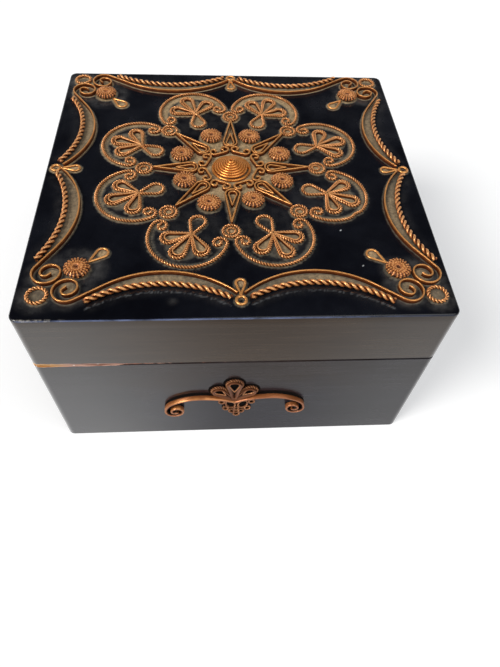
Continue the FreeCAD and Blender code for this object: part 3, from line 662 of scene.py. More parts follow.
# %% Star points, tip rings and rosettes
point_end_radius = 3.15
fine_strip = 0.6
fine_strip_height = 1.7
ornament_gap = 0.15
inner_point_share = 0.44
inner_end_radius = 1.85
inner_strip = 0.55
tip_ring_radius = 3.1
tip_ring_strand = 0.3
cord_width = 1.3
cord_strand = cord_width / 4
cord_pitch = 2.2
rosette_radius = 4.65
rosette_height = 2.6
rosette_turns = 20
medallion_distance = 41.94
medallion_radius = 14.7
medallion_half_span = 98.0
curl_radii = (0.173 * medallion_radius, 1.45)
petal_setback = 0.108 * medallion_radius
inner_petal_length = 0.716 * medallion_radius

# Shifts of the eight tip rings, rosettes and medallions, going round against the
# clock from the tip ring nearest the lid's right edge
tip_ring_shifts = ((-0.1, 0.3), (0.5, 0.6), (0.8, 0.6), (-0.6, 0.2))
tip_ring_shifts += ((0.4, 0.0), (0.6, -0.7), (-1.1, -0.6), (0.2, -0.3))
rosette_shifts = ((0.2, 0.4), (0.0, 0.6), (0.3, 0.8), (0.0, 0.2))
rosette_shifts += ((1.4, 0.4), (-0.8, -1.2), (-0.4, 0.7), (0.0, 0.0))
medallion_shifts = ((-0.1, 0.2), (0.0, 0.5), (0.3, 0.3), (0.1, -0.2))
medallion_shifts += ((0.8, 0.0), (-1.0, -0.6), (-1.3, 0.0), (-0.3, 0.0))

marks = {"film": [], "haze": [], "chip": []}


def mark(kind, at, radius, share=1.0):
    """Notes a round spot of film, haze or chipped lacquer on the top board."""
    marks[kind].append((at[0], at[1], radius, share))


curl_middle = polar(medallion_distance, -half_step)
curl_middle = curl_middle + polar(medallion_radius - curl_radii[0], medallion_half_span - half_step)
nest = tip_ring_radius + curl_radii[0] + cord_width + 0.6
tip_distance = curl_middle[0] - math.sqrt(nest**2 - curl_middle[1] ** 2)
apart = point_end_radius + scroll_radius + strip_thickness / 2 + 2 * ornament_gap
point_base = scroll_reach * math.cos(math.radians(half_step / 2))
point_base += math.sqrt(apart**2 - scroll_across**2)
print("tip rings at", round(tip_distance, 2), "mm, star points start at", round(point_base, 2), "mm")

points_work, drops_work, rings_work, rosettes_work = (Wirework() for _ in range(4))
for index in range(petal_count):
    angle = spot(0, index)[0]
    base = polar(point_base, angle)
    ring_at = polar(tip_distance, angle) + np.array(tip_ring_shifts[index])
    bearing = bearing_of(ring_at - base)
    reach = np.linalg.norm(ring_at - base) - tip_ring_radius - cord_width / 2 - ornament_gap
    whole = reach + point_end_radius
    outer = teardrop(whole - fine_strip / 2, point_end_radius - fine_strip / 2)
    outer = moved(outer, 180, (reach, 0))
    points_work.strip(moved(outer, bearing, star_middle + base), fine_strip, fine_strip_height, True)
    inner_reach = inner_point_share * whole
    inner_tip = strip_thickness + 2 * ornament_gap - point_end_radius + inner_reach
    inner = moved(teardrop(inner_reach - 0.28, inner_end_radius - 0.28), 180, (inner_tip, 0))
    drops_work.strip(moved(inner, bearing, star_middle + base), inner_strip, 1.5, True)
    ring_at = star_middle + ring_at
    rings_work.cord(moved(round_loop(tip_ring_radius), 0, ring_at), tip_ring_strand, cord_pitch, True)
    rings_work.cord(moved(round_loop(1.55), 0, ring_at + hand.normal(0, 0.25, 2)), 0.23, 1.7, True)
    mark("film", ring_at, tip_ring_radius + 1.1)
    for step in np.linspace(0, reach, 10):
        width = point_end_radius * (1 - step / reach) + 1.0
        mark("film", star_middle + base + polar(step, bearing), width, 0.9)
lay_on_lid("star_point_strips", points_work, strip_copper, "star_points")
lay_on_lid("star_drop_wires", drops_work, strip_copper, "star_inner_drops")
lay_on_lid("star_ring_cords", rings_work, cord_copper, "star_tip_rings")
mark("film", star_middle, 20.0)


def wound_rosette(radius, height, winds):
    """Beaded wire wound round a ring, with a small dark eye in the middle."""
    wire = 0.42
    eye = 0.15
    swirl = 0.16
    per_wind = 44
    beads_per_wind = 10.3
    middle = (radius + eye) / 2
    reach = (radius - eye) / 2 - wire
    rise = height / 2 - wire
    count = winds * per_wind
    around = np.linspace(0, 2 * np.pi, count, endpoint=False)
    over = winds * around
    drift = 0.05 * np.sin(3 * around + hand.uniform(0, 6))
    drift = drift + 0.03 * np.sin(7 * around + hand.uniform(0, 6))
    angle = around + (swirl + drift) * np.cos(over)
    out = np.stack([np.cos(angle), np.sin(angle), np.zeros(count)], 1)
    upward = np.array([[0.0, 0.0, 1.0]])
    uneven = np.repeat(hand.normal(1.0, 0.05, winds), per_wind)
    line = out * (middle + reach * np.cos(over) * uneven)[:, None]
    line = line + upward * (height / 2 + rise * np.sin(over))[:, None]
    normal = unit(out * (np.cos(over) / reach)[:, None] + upward * (np.sin(over) / rise)[:, None])
    ahead = ahead_of(line, True)
    normal = unit(normal - ahead * np.sum(normal * ahead, 1, keepdims=True))
    section = round_section(wire, 6)
    beads = np.cos(np.arange(count) * 2 * np.pi * beads_per_wind / per_wind + 2 * np.sin(5 * around))
    eye_shade = 0.3 + 0.7 * eased(np.linalg.norm(line[:, :2], axis=1), 0.5, 1.6)
    groove = (0.3 + 0.7 * eased(section[:, 0] / wire, -0.2, 0.9))[None, :]
    groove = groove * ((0.74 + 0.26 * beads) * eye_shade)[:, None]
    work = Wirework()
    work.sweep(line, normal, np.cross(ahead, normal), section, True, height, groove, 0.88 + 0.17 * beads)
    core = raised(round_loop(middle), height / 2)
    oval = round_section(1.0, 12) * np.array([[reach, rise]])
    work.sweep(core, *flat_frame(core, True), oval, True, height, 0.2)
    return work


scroll_edge = scroll_reach + scroll_radius + strip_thickness / 2
inner_petal_tip = medallion_distance - petal_setback - inner_petal_length
for index in range(petal_count):
    place = spot((scroll_edge + inner_petal_tip) / 2, index, True)[1] + np.array(rosette_shifts[index])
    one = wound_rosette(rosette_radius + hand.normal(0, 0.08), rosette_height, rosette_turns)
    rosettes_work.put(one, hand.uniform(0, 360), place)
    mark("film", place, rosette_radius + 0.3, 0.8)
lay_on_lid("star_rosette_coils", rosettes_work, coil_copper, "star_rosettes")

# %% [markdown]
# ## Medallions
# Eight open arcs of cord with curled ends hold a flower each. A flower has a single
# petal towards the boss and three double ones, cord outside and strip inside. On the
# real box no two flowers lean alike, so their bearings are written one by one. The
# film inside an arc is wider and browner towards the back.

# %% Medallion arcs and flowers
petal_lap = 0.6
side_petal_angle = 54.0
double_inset = cord_width / 2
single_inset = cord_width + 0.25
arc_inside = medallion_radius - cord_width / 2
side_along = petal_setback * math.cos(math.radians(side_petal_angle))
side_across = petal_setback * math.sin(math.radians(side_petal_angle))
side_length = side_along + math.sqrt((arc_inside - 2.85) ** 2 - side_across**2)
inner_petal_radius = 0.243 * medallion_radius
side_petal = (side_length, 0.234 * medallion_radius)
middle_petal = (arc_inside + petal_setback - 1.8, 0.236 * medallion_radius)
outer_petals = (side_petal, middle_petal, side_petal)

# Bearings of the four petals, measured from straight outwards, flower by flower
flower_leans = (
    (171.0, 53.5, -2.0, -52.0),
    (183.5, 50.0, 0.0, -54.0),
    (168.0, 52.5, 0.0, -58.0),
    (172.5, 49.5, 4.0, -48.5),
    (180.0, 56.0, -2.5, -53.5),
    (184.0, 46.5, -6.5, -55.5),
    (180.5, 54.5, 2.5, -54.0),
    (183.0, 57.5, -2.5, -56.5),
)
flower_shifts = ((0.0, -0.5), (-0.6, 0.3), (0.7, 0.7), (0.2, -0.7))
flower_shifts += ((1.0, 0.2), (-0.2, -0.5), (-1.2, -0.2), (0.2, 0.0))

# Film inside the arcs: for medallions behind this place along Y, its strength and radius
arc_films = ((25.0, 0.98, 2.5), (-25.0, 0.88, 1.4), (-half_depth, 0.8, 1.1))
dent_at = np.array([46.0, -24.6])


def petal_line(length, radius, inset, bearing):
    """The middle of a wire that runs inside a petal's outline."""
    loop = teardrop(length + petal_lap - inset, radius - inset)
    return moved(moved(loop, 0, (-petal_lap, 0)), bearing)


def flower(leans):
    """Four petals bent from cord and strip."""
    work = Wirework()
    line = petal_line(inner_petal_length, inner_petal_radius, double_inset, leans[0])
    work.cord(line, cord_strand, cord_pitch, True)
    for (length, radius), bearing in zip(outer_petals, leans[1:]):
        work.cord(petal_line(length, radius, double_inset, bearing), cord_strand, cord_pitch, True)
        work.strip(petal_line(length - 0.4, radius, single_inset, bearing), 0.55, 1.3, True)
    return work


def flower_film(leans, turn, at):
    """Film inside the petals of a flower, thin in the inner ones along the front."""
    for (length, radius), bearing in zip(((inner_petal_length, inner_petal_radius), *outer_petals), leans):
        thin = radius == inner_petal_radius and at[1] <= -25.0
        tone = 0.45 if thin else hand.uniform(0.75, 0.95)
        for share in np.linspace(0.35, 1, 5):
            mark("film", at + polar((length - radius) * share, turn + bearing), radius * share, tone)


def dented(line, towards):
    """The line pushed in near one place, as by a knock."""
    near = np.exp(-(np.linalg.norm(line - dent_at, axis=1, keepdims=True) ** 2) / 1.8**2)
    return line + 1.3 * near * unit(np.array([towards - dent_at]))


arcs_work, flowers_work = Wirework(), Wirework()
for index in range(petal_count):
    angle, place = spot(medallion_distance, index, True)
    place = place + np.array(medallion_shifts[index])
    for side in (-1, 1):
        pen = Pen((medallion_radius, 0), side * 90).bend(medallion_radius, side * medallion_half_span)
        line = moved(pen.curl(curl_radii, (180, 235), side).line(), angle, place)
        arcs_work.cord(dented(line, place), cord_strand, cord_pitch)
        curl_at = polar(medallion_radius - curl_radii[0], angle + side * medallion_half_span)
        mark("film", place + curl_at, 2.6, 0.85)
    tone, width = next(film[1:] for film in arc_films if place[1] > film[0])
    for bearing in range(-96, 97, 6):
        mark("film", place + polar(medallion_radius - 1.4, angle + bearing), width, tone)
    mark("film", place + polar(5.0, angle), 7.0, tone - 0.22)
    mark("haze", place, medallion_radius + 2.0, 0.3)
    angle, place = spot(medallion_distance - petal_setback, index, True)
    place = place + np.array(flower_shifts[index])
    flowers_work.put(flower(flower_leans[index]), angle, place)
    flower_film(flower_leans[index], angle, place)
lay_on_lid("medallion_cords", arcs_work, cord_copper, "medallion_arcs")
lay_on_lid("flower_cords", flowers_work, cord_copper, "medallion_flowers")

# %% [markdown]
# ## Border
# A strip and a thick rope bow in along each side of the lid. The strip starts at the
# knot in the middle of the side, swings over the bow, runs out straight and winds
# into the corner spiral. The bow's radius follows from those three, by one quadratic.
# In front of the front ropes the polish has left a broken pale line.

# %% Border strips and ropes
knot_inset = 4.0
front_shift = 3.1
strip_crest_inset = 16.4
strip_end_from_knot = 1.3
strip_end_above_knot = 2.8
rope_crest_inset = 11.2
rope_start_from_knot = 3.4
rope_end_back = 6.2
rope_end_out = 4.6
rope_strand = 0.54
rope_pitch = 5.3
lead_in_run = 11.0
spiral_along_inset = 17.8
spiral_across_inset = 9.8
spiral_radii = (4.8, 3.4, 1.7)
spiral_tail = 1.2
chip_radius = 0.33
sides = {
    "front": ((0.5, -half_depth), (1, 0), (0, 1)),
    "back": ((1.0, half_depth), (1, 0), (0, -1)),
    "left": ((-half_width, 2.1), (0, 1), (1, 0)),
    "right": ((half_width, 1.6), (0, 1), (-1, 0)),
}
corner_shifts = {(-1, -1): (-0.3, 1.8), (1, -1): (1.6, 0.4), (-1, 1): (-1.2, 0.9), (1, 1): (0.4, 1.4)}


def corner_place(sign_x, sign_y, inset_x, inset_y):
    """A point of a corner group, at distances from the two lid edges."""
    shift = np.array(corner_shifts[(sign_x, sign_y)])
    return np.array([sign_x * (half_width - inset_x), sign_y * (half_depth - inset_y)]) + shift


def side_frame(side):
    """Origin at the knot on the lid's edge, the way along it and the way in."""
    return [np.array(value, float) for value in sides[side]]


def side_inset(side, inset):
    """An inset of the border, which sits further in along the front."""
    return inset + (front_shift if side == "front" else 0.0)


def spiral_middle(side, half):
    """The corner spiral that one half of a side's strip runs into."""
    if side in ("front", "back"):
        sign_y = -1 if side == "front" else 1
        return corner_place(half, sign_y, spiral_along_inset, spiral_across_inset)
    sign_x = -1 if side == "left" else 1
    return corner_place(sign_x, half, spiral_across_inset, spiral_along_inset)


def strip_line(side, spiral):
    """A strip from the knot over its bow and into the corner spiral."""
    crest_level = side_inset(side, strip_crest_inset)
    start = np.array([strip_end_from_knot, side_inset(side, knot_inset) + strip_end_above_knot])
    radius = spiral_radii[0]
    rise = crest_level - start[1]
    fall = crest_level - spiral[1]
    away = start[0] - spiral[0]
    a = 1 - (fall + radius) / rise
    b = 2 * away
    c = away**2 + fall**2 - radius**2 - lead_in_run**2 - rise * (fall + radius)
    half_chord = 2 * c / (math.sqrt(b * b - 4 * a * c) - b)
    bow_radius = (half_chord**2 + rise**2) / (2 * rise)
    middle = np.array([start[0] + half_chord, crest_level - bow_radius])
    start_heading = math.degrees(math.acos((start[1] - middle[1]) / bow_radius))
    slant = math.degrees(math.atan2(lead_in_run, bow_radius + radius))
    turn = bearing_of(spiral - middle) + slant - 90 - start_heading
    pen = Pen(start, start_heading).bend(bow_radius, turn).run(lead_in_run)
    pen.bend(radius, 180 - pen.heading)
    return pen.curl(spiral_radii[1:], (180, 135), 1).run(spiral_tail).line()


def rope_line(side, spiral):
    """The rope outside a strip, a shallow arc from the knot to the corner spiral."""
    start = np.array([rope_start_from_knot, side_inset(side, knot_inset) + 1.0])
    end = spiral + np.array([-rope_end_back, -rope_end_out])
    half = np.linalg.norm(end - start) / 2
    rise = side_inset(side, rope_crest_inset) - (start[1] + end[1]) / 2
    radius = (half**2 + rise**2) / (2 * rise)
    sweep = 2 * math.degrees(math.asin(half / radius))
    return Pen(start, bearing_of(end - start) + sweep / 2).bend(radius, -sweep).line()


mark("chip", (39.4, -33.5), chip_radius, 0.9)
mark("chip", (45.0, -51.2), chip_radius, 0.6)
mark("haze", (-22.5, -66.2), 1.5)
strips_work, ropes_work = Wirework(), Wirework()
for side in sides:
    origin, along, inward = side_frame(side)
    for half in (-1, 1):
        away = spiral_middle(side, half) - origin
        spiral = np.array([away @ along * half, away @ inward])
        strip, rope = (
            origin + line[:, :1] * along * half + line[:, 1:] * inward
            for line in (strip_line(side, spiral), rope_line(side, spiral))
        )
        strips_work.strip(strip, fine_strip, fine_strip_height)
        ropes_work.cord(rope, rope_strand, rope_pitch, sides=10, per_turn=18)
        for share in np.linspace(0.02, 0.98, 26):
            first = rope[round(share * (len(rope) - 1))]
            gap = strip[np.argmin(np.linalg.norm(strip - first, axis=1))] - first
            width, tone = np.linalg.norm(gap) / 2 + 0.3, 0.6 + 0.2 * math.sin(math.pi * share)
            mark("film", first + gap / 2, width, tone)
            mark("haze", first - unit(np.array([gap]))[0] * 2.6, 2.0, 0.4)
        if side == "front":
            for x, y in rope:
                mark("chip", (x, y - hand.normal(2.8, 0.12)), chip_radius, hand.uniform(-0.05, 0.09))
        mark("film", strip[-1], 3.6, 0.8)
        mark("haze", strip[-1], 9.5)
lay_on_lid("border_strip_bends", strips_work, strip_copper, "border_strips")
lay_on_lid("border_twisted_ropes", ropes_work, cord_copper, "border_ropes", filmed=False)

# %% [markdown]
# ## Knots and corners
# Where two bows meet sit a small ring and a loop. Each corner has a thick ring of
# cord, a rosette and a loop that points to the middle of the lid.

# %% Knots and corners
fine_wire = 0.8
knot_ring_radius = 1.7
knot_loop_length = 7.5
knot_loop_radius = 2.05
corner_ring_inset = 8.2
corner_ring_radius = 3.25
corner_rosette_inset = 19.8
corner_loop_length = 8.6
corner_loop_radius = 2.5

knot_rings, knot_loops = Wirework(), Wirework()
for side in sides:
    origin, _, inward = side_frame(side)
    at = origin + inward * side_inset(side, knot_inset)
    knot_rings.wire(moved(round_loop(knot_ring_radius), 0, at), 0.5, True)
    at = at + inward * (knot_ring_radius + fine_wire / 2 + ornament_gap)
    loop = teardrop(knot_loop_length - fine_wire / 2, knot_loop_radius - fine_wire / 2)
    knot_loops.wire(moved(loop, bearing_of(inward), at), 0.45, True)
    mark("film", at + inward * knot_loop_length * 0.7, 2.0)
lay_on_lid("knot_ring_wires", knot_rings, strip_copper, "border_knot_rings")
lay_on_lid("knot_loop_wires", knot_loops, strip_copper, "border_knot_loops")

corner_rings, corner_rosettes, corner_loops = (Wirework() for _ in range(3))
for sign_x, sign_y in corner_shifts:
    turn = bearing_of((-sign_x, -sign_y))
    at = corner_place(sign_x, sign_y, corner_ring_inset, corner_ring_inset)
    corner_rings.cord(moved(round_loop(corner_ring_radius), 0, at), 0.35, 2.5, True, sides=8, per_turn=14)
    mark("film", at, 3.6, 0.7)
    mark("haze", at, 7.5)
    at = corner_place(sign_x, sign_y, corner_rosette_inset, corner_rosette_inset)
    one = wound_rosette(rosette_radius, rosette_height, rosette_turns)
    corner_rosettes.put(one, hand.uniform(0, 360), at)
    mark("film", at, rosette_radius + 0.1, 0.75)
    mark("haze", at, rosette_radius + (6.0 if sign_x < 0 else 2.0))
    at = at + polar(rosette_radius + ornament_gap, turn)
    loop = teardrop(corner_loop_length - fine_wire / 2, corner_loop_radius - fine_wire / 2)
    corner_loops.wire(moved(loop, turn, at), 0.42, True)
    mark("film", at + polar(corner_loop_length * 0.7, turn), 2.4)
lay_on_lid("corner_ring_cords", corner_rings, cord_copper, "corner_rings")
lay_on_lid("corner_rosette_coils", corner_rosettes, coil_copper, "corner_rosettes")
lay_on_lid("corner_loop_wires", corner_loops, strip_copper, "corner_loops")

# %% [markdown]
# ## Ornament on the front
# A bow of strip hangs on the front of the box, with three nested petals above its dip
# and a bunch of small rings below. It is drawn flat like the rest and then stood up
# against the wood. Thin black sheets on the wood above the bow, round and inside the
# petals and rings are painted shade, the one piece here that has no solid in the CAD.

# %% Bow, crown and drop
ornament_level = 29.8
bow_shift = -0.75
bow_tilt = 1.0
bow_proud = 2.3
bow_bends = ((30.2, 28.0), (19.2, 38.0), (7.7, 52.0), (3.6, 180.0), (2.4, 180.0), (1.4, 150.0))
painted_shade_fade = 34
crown_shift = -1.1
crown_lift = 1.5
crown_sizes = ((14.5, 3.65, 90.0), (12.0, 3.3, 44.0), (12.0, 3.3, 136.0))
drop_ring_tilt = 14
drop_rings = ((2.55, -4.1, 1.85, 3.1), (6.2, -2.0, 1.15, 1.45), (4.6, -7.6, 1.1, 1.4))
drop_rings += ((0.0, -8.2, 0.95, 1.2), (2.0, -10.2, 1.1, 1.4), (0.0, -12.8, 1.2, 1.5))


def stand_on_front(name, work, material, shift, lift, *nodes):
    """Flat wirework stood up against the front of the base."""
    flat = np.vstack(work.points)
    points = np.stack([flat[:, 0] + shift, -half_depth - flat[:, 2], flat[:, 1] + ornament_level + lift], 1)
    finish_wirework(name, work, points, material, "base", *nodes)


def mirrored(section):
    """A section for the half of a bow that runs the other way."""
    return section[::-1] * np.array([[-1, 1]])


bow_right = [(0.45, 0.0), (0.45, 0.4), (0.45, 0.6), (0.45, 2.1), (0.3, bow_proud)]
bow_section = np.array([*bow_right, (-0.3, bow_proud), (-0.45, 2.1), (-0.45, 0.0)])
# Shine across the bow's section: the upper face is rubbed golden from 0.6 mm out, while the foot by the
# wood and the lower face are painted shade.
bow_rub_and_shade = np.array([0.0, 0.05, 1.3, 1.0, 0.85, 0.75, 0.3, 0.0])
shade_section = np.array([(0.3, 0.0), (2.1, 0.0), (2.1, 0.06), (0.3, 0.06)])
bow, painted_shade = Wirework(), Wirework()
for side in (-1, 1):
    pen = Pen((0, 0), 90 - side * (90 - bow_bends[0][1]))
    for radius, turn in bow_bends:
        pen.bend(radius, -side * turn)
        if turn < 90:
            arch = len(pen.points)
    line = raised(moved(pen.line(), bow_tilt), 0)
    across, up = flat_frame(line, False)
    # Painted shade: the right half of the bow keeps only 0.8 of its shine.
    metal, shade, rub = bow_section, shade_section, 0.8 * bow_rub_and_shade
    if side < 0:
        metal, shade, rub = mirrored(metal), mirrored(shade), bow_rub_and_shade[::-1]
    bow.sweep(line, across, up, metal, False, bow_proud, rub)
    # Painted shade: a thin black sheet on the wood above the arch of the bow, fading towards the spirals.
    under = line[:arch] + np.array([bow_shift, 0, 0])
    taper = np.clip((arch - np.arange(arch)) / painted_shade_fade, 0.15, 1)
    painted_shade.sweep(under, across[:arch], up[:arch], shade, False, 1.0, swell=taper)
stand_on_front("bow_strip", bow, bow_copper, bow_shift, 0.0, "front_bow")

crown = Wirework()
crown_at = np.array([crown_shift, crown_lift])
band_section = np.array([(0.65, 0.0), (0.65, 1.75), (0.4, 1.95), (-0.4, 1.15), (-0.65, 0.95), (-0.65, 0.0)])
band_rub = np.array([0.0, 0.6, 0.75, 0.5, 0.35, 0.0])
for length, radius, bearing in crown_sizes:
    crown.cord(petal_line(length, radius, 0.42, bearing), 0.3, 2.0, True)
    band = raised(petal_line(length - 0.2, radius, 1.3, bearing), 0)
    across, up = flat_frame(band, True)
    crown.sweep(band, -across, up, band_section[::-1], True, 1.9, band_rub[::-1])
    # Painted shade: a plate with no crest fills each petal, so it takes the near-black dark of its copper.
    crown.plate(petal_line(length - 0.8, radius, 1.8, bearing), 0.25)
    hole = moved(moved(teardrop(0.48 * length, radius - 1.6), 0, (0.39 * length, 0)), bearing)
    crown.wire(hole, 0.22, True, 0.9)
    # Painted shade: a black sheet behind the hole and a wider one round the whole petal.
    painted_shade.plate(hole + crown_at, 0.35)
    painted_shade.plate(petal_line(length + 0.9, radius + 0.9, 0, bearing) + crown_at, 0.06)
stand_on_front("crown_petal_wires", crown, dark_copper, crown_shift, crown_lift, "front_crown_petals")

cluster = Wirework()
for across, below, width, tall in drop_rings:
    for side in (-1, 1) if across else (1,):
        loop = round_loop(1.0) * np.array([width, tall])
        loop = moved(loop, -side * drop_ring_tilt, (side * across, below))
        cluster.cord(loop, 0.24, 1.4, True)
        # Painted shade: a black sheet inside each ring and a wider one round it.
        painted_shade.plate(loop, 0.2)
        painted_shade.plate((loop - loop.mean(0)) * 1.35 + loop.mean(0), 0.06)
stand_on_front("drop_ring_cords", cluster, dark_copper, 0.0, 0.0, "front_drop_rings")

# Painted shade: the near-black colour of the sheets round the ornament.
black_painted_shade, nodes, shader = new_material("black_painted_shade")
painted_shade_colour = nodes.blend(nodes.noise(1.5), rgb(6, 4, 3), rgb(24, 16, 12))
nodes.fill(shader, {"Base Color": painted_shade_colour, "Roughness": 0.95, "Specular IOR Level": 0.1})
stand_on_front("ornament_painted_shade", painted_shade, black_painted_shade, 0.0, 0.0)

# %% [markdown]
# ## Lacquer
# Black lacquer is a clear gloss over black paint. It is never quite clean: there is a
# brushed grain, cloudy smears and fine dust. One group makes those masks, and each
# face uses it with its own amounts.

# %% The lacquer group
nodes, given, made = new_group(
    "aged_lacquer",
    {"Black": (0.004, 0.004, 0.006, 1.0), "Dust": (0.12, 0.11, 0.1, 1.0), "Dust Amount": 0.2},
    "Color",
    "Roughness",
    "Height",
)
smears = nodes.ease(nodes.noise(0.035, 4.0, (1, 1, 2.0), 0.6), 0.35, 0.7)
speck = nodes.ease(nodes.noise(1.6, 3.0), 0.66, 0.8)
brushed = nodes.ease(nodes.noise(0.3, 4.0, (0.12, 0.12, 4.0), 0.65), 0.3, 0.7)
dust = nodes.plus(nodes.times(smears, 0.25), nodes.times(brushed, 0.5), speck)
dust = nodes.times(dust, given["Dust Amount"])
roughness = nodes.plus(nodes.times(smears, 0.16), nodes.times(brushed, 0.1), 0.08)
colour = nodes.blend(dust, given["Black"], given["Dust"])
nodes.fill(made, {"Color": colour, "Roughness": roughness, "Height": brushed})
print("lacquer group of", len(nodes.tree.nodes), "nodes")

# %% [markdown]
# ## Bare wood at the seam
# At the left of the front the lacquer has worn off the rims and pale wood shows. This
# group makes that mask from the height on the box and the place along the front, with
# a ragged edge, and a second one gives the wood its colour.

# %% The bare rim and bare wood groups
bare_left_end = -68.0
bare_right_end = -20.0

nodes, given, made = new_group("bare_rim", {"Low": 57.0, "High": 59.0}, "Mask")
axes = nodes.axes()
ragged = nodes.swing(nodes.noise(0.3, 4.0, (1, 1, 0.3)))
narrow = nodes.plus(nodes.ease(axes["X"], bare_left_end, bare_right_end, 0.0, 0.75), ragged)
above = nodes.math("GREATER_THAN", axes["Z"], nodes.plus(given["Low"], narrow))
below = nodes.math("LESS_THAN", axes["Z"], nodes.math("SUBTRACT", given["High"], narrow))
along = nodes.plus(axes["X"], nodes.times(ragged, 30.0))
left = nodes.ease(along, bare_right_end, bare_right_end + 12.0, 1.0, 0.0)
from_front = nodes.plus(axes["Y"], nodes.times(ragged, 5.0))
near_front = nodes.ease(from_front, 2.6 - half_depth, 1.2 - half_depth)
nodes.feed(made["Mask"], nodes.times(above, below, left, near_front))

nodes, given, made = new_group(
    "bare_wood", {"Light": (0.4, 0.28, 0.16, 1.0), "Deep": (0.2, 0.11, 0.05, 1.0)}, "Color"
)
streaks = nodes.ease(nodes.noise(0.5, 4.0, (0.15, 1, 3.0)), 0.35, 0.65)
wood = nodes.blend(streaks, given["Light"], given["Deep"])
nodes.feed(made["Color"], nodes.blend(nodes.ease(nodes.noise(0.9), 0.66, 0.7), wood, rgb(226, 214, 204)))
print("bare wood from", bare_left_end, "to", bare_right_end, "mm along the front")

# %% [markdown]
# ## Lacquered boards
# The black of the front is not even. A blue tinge low down and a brown one higher up
# are painted reflection, colours the gloss mirrors from the room, and a clear coat
# mirrors the white table more towards both ends. A picture pasted on the front would
# show it too, but what it mirrors would then be painted on and turn with the lid.

# %% Finishes of the boards
warm_tint = (1.0, 0.9, 0.8, 1.0)


def lacquer(name, dust, dust_amount, specular=0.5, tint=warm_tint, rim=None, reflection_tinge=None, coat=None):
    """A lacquered face. Rim and the painted reflection tinge are levels, coat its strengths at the left and
    right.
    """
    material, nodes, shader = new_material(name)
    axes = nodes.axes()
    black = rgb(9, 8, 9)
    # Painted reflection: blue low down turning brown higher up, in patches, fading to plain black towards
    # both ends.
    if reflection_tinge:
        patches = nodes.swing(nodes.noise(0.06, 4.0), 30.0)
        brown = nodes.ease(nodes.plus(axes["Z"], patches), *reflection_tinge)
        aside = nodes.math("ABSOLUTE", nodes.plus(axes["X"], patches))
        black = nodes.blend(brown, rgb(13, 13, 24), rgb(34, 22, 12))
        black = nodes.blend(nodes.ease(aside, 20.0, 60.0, 0.0, 0.75), black, rgb(9, 10, 13))
    group = nodes.group("aged_lacquer", {"Black": black, "Dust": dust, "Dust Amount": dust_amount})
    colour, roughness = group["Color"], group["Roughness"]
    if rim:
        mask = nodes.group("bare_rim", {"Low": rim[0], "High": rim[1]})["Mask"]
        ochre = nodes.group("bare_wood", {"Light": rgb(222, 176, 104), "Deep": rgb(170, 112, 54)})
        russet = nodes.group("bare_wood", {"Light": rgb(190, 150, 132), "Deep": rgb(116, 66, 44)})
        wood = nodes.blend(nodes.ease(axes["X"], -72.0, -60.0), ochre["Color"], russet["Color"])
        colour = nodes.blend(mask, colour, wood)
        roughness = nodes.plus(roughness, nodes.times(mask, 0.6))
    nodes.fill(shader, {"Base Color": colour, "Roughness": roughness})
    nodes.fill(shader, {"Specular IOR Level": specular, "Specular Tint": tint})
    nodes.feed(shader["Normal"], nodes.bumped(group["Height"], 0.12, 0.02))
    if coat:
        to_left = nodes.ease(axes["X"], 6.0, -66.0, 0.0, coat[0])
        to_right = nodes.ease(axes["X"], 10.0, 72.0, 0.0, coat[1])
        upward = nodes.ease(axes["Z"], 5.0, 40.0, 0.0, 0.12)
        nodes.fill(shader, {"Coat Weight": nodes.plus(to_left, to_right, upward), "Coat Roughness": 0.15})
    return material


def dress(material, *names):
    """Gives CAD nodes a finish."""
    for name in names:
        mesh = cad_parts[name].data
        mesh.materials.clear()
        mesh.materials.append(material)


front_lacquer = lacquer(
    "lid_front_lacquer",
    rgb(96, 80, 64),
    0.28,
    specular=0.27,
    tint=(1.0, 0.76, 0.58, 1.0),
    rim=(seam_level - 1.0, seam_level + 1.0),
    reflection_tinge=(-20.0, 30.0),
    coat=(0.95, 0.4),
)
base_lacquer = lacquer(
    "base_front_lacquer",
    rgb(84, 82, 92),
    0.28,
    specular=0.14,
    tint=(1.0, 0.93, 0.9, 1.0),
    rim=(seam_level - 1.1, seam_level + 1.0),
    reflection_tinge=(26.0, 48.0),
    coat=(1.0, 0.32),
)
side_lacquer = lacquer("side_lacquer", rgb(88, 84, 82), 0.4)
dress(front_lacquer, "lid_front_rail")
dress(base_lacquer, "base_front_board")
side_boards = ("base_back_board", "base_left_board", "base_right_board")
side_boards += ("lid_back_rail", "lid_left_rail", "lid_right_rail")
dress(side_lacquer, *side_boards)

bottom_wood, nodes, shader = new_material("stained_bottom")
wood = nodes.group("bare_wood", {"Light": rgb(92, 66, 44), "Deep": rgb(52, 34, 22)})
nodes.fill(shader, {"Base Color": wood["Color"], "Roughness": 0.7})
dress(bottom_wood, "base_bottom_panel")
print("lacquer on", len(side_boards) + 2, "boards")

# %% [markdown]
# ## Lid top with its glue film
# Round every wire the glue has left a dull grey-brown film on the lacquer, and some
# of it fills the small rings and the arcs. The corners are hazy, and polish has left
# pale dots in front of the front ropes. Painting all that by hand would take a
# picture. Instead the top is a fine grid, and each of its points knows how far the
# nearest wire and the noted spots are.

# %% Lid top panel
grid_step = 0.5
arris = 0.7
corner = np.array([half_width, half_depth]) - 3.0
wire_point_step = 5


def grid_quads(numbers):
    """The faces between the numbered points of a grid."""
    quads = np.stack([numbers[:-1, :-1], numbers[:-1, 1:], numbers[1:, 1:], numbers[1:, :-1]], -1)
    return quads.reshape(-1, 4)


def grid_edge(numbers):
    """The numbers round the edge of a grid."""
    return np.concatenate([numbers[0, :-1], numbers[:-1, -1], numbers[-1, :0:-1], numbers[:0:-1, 0]])


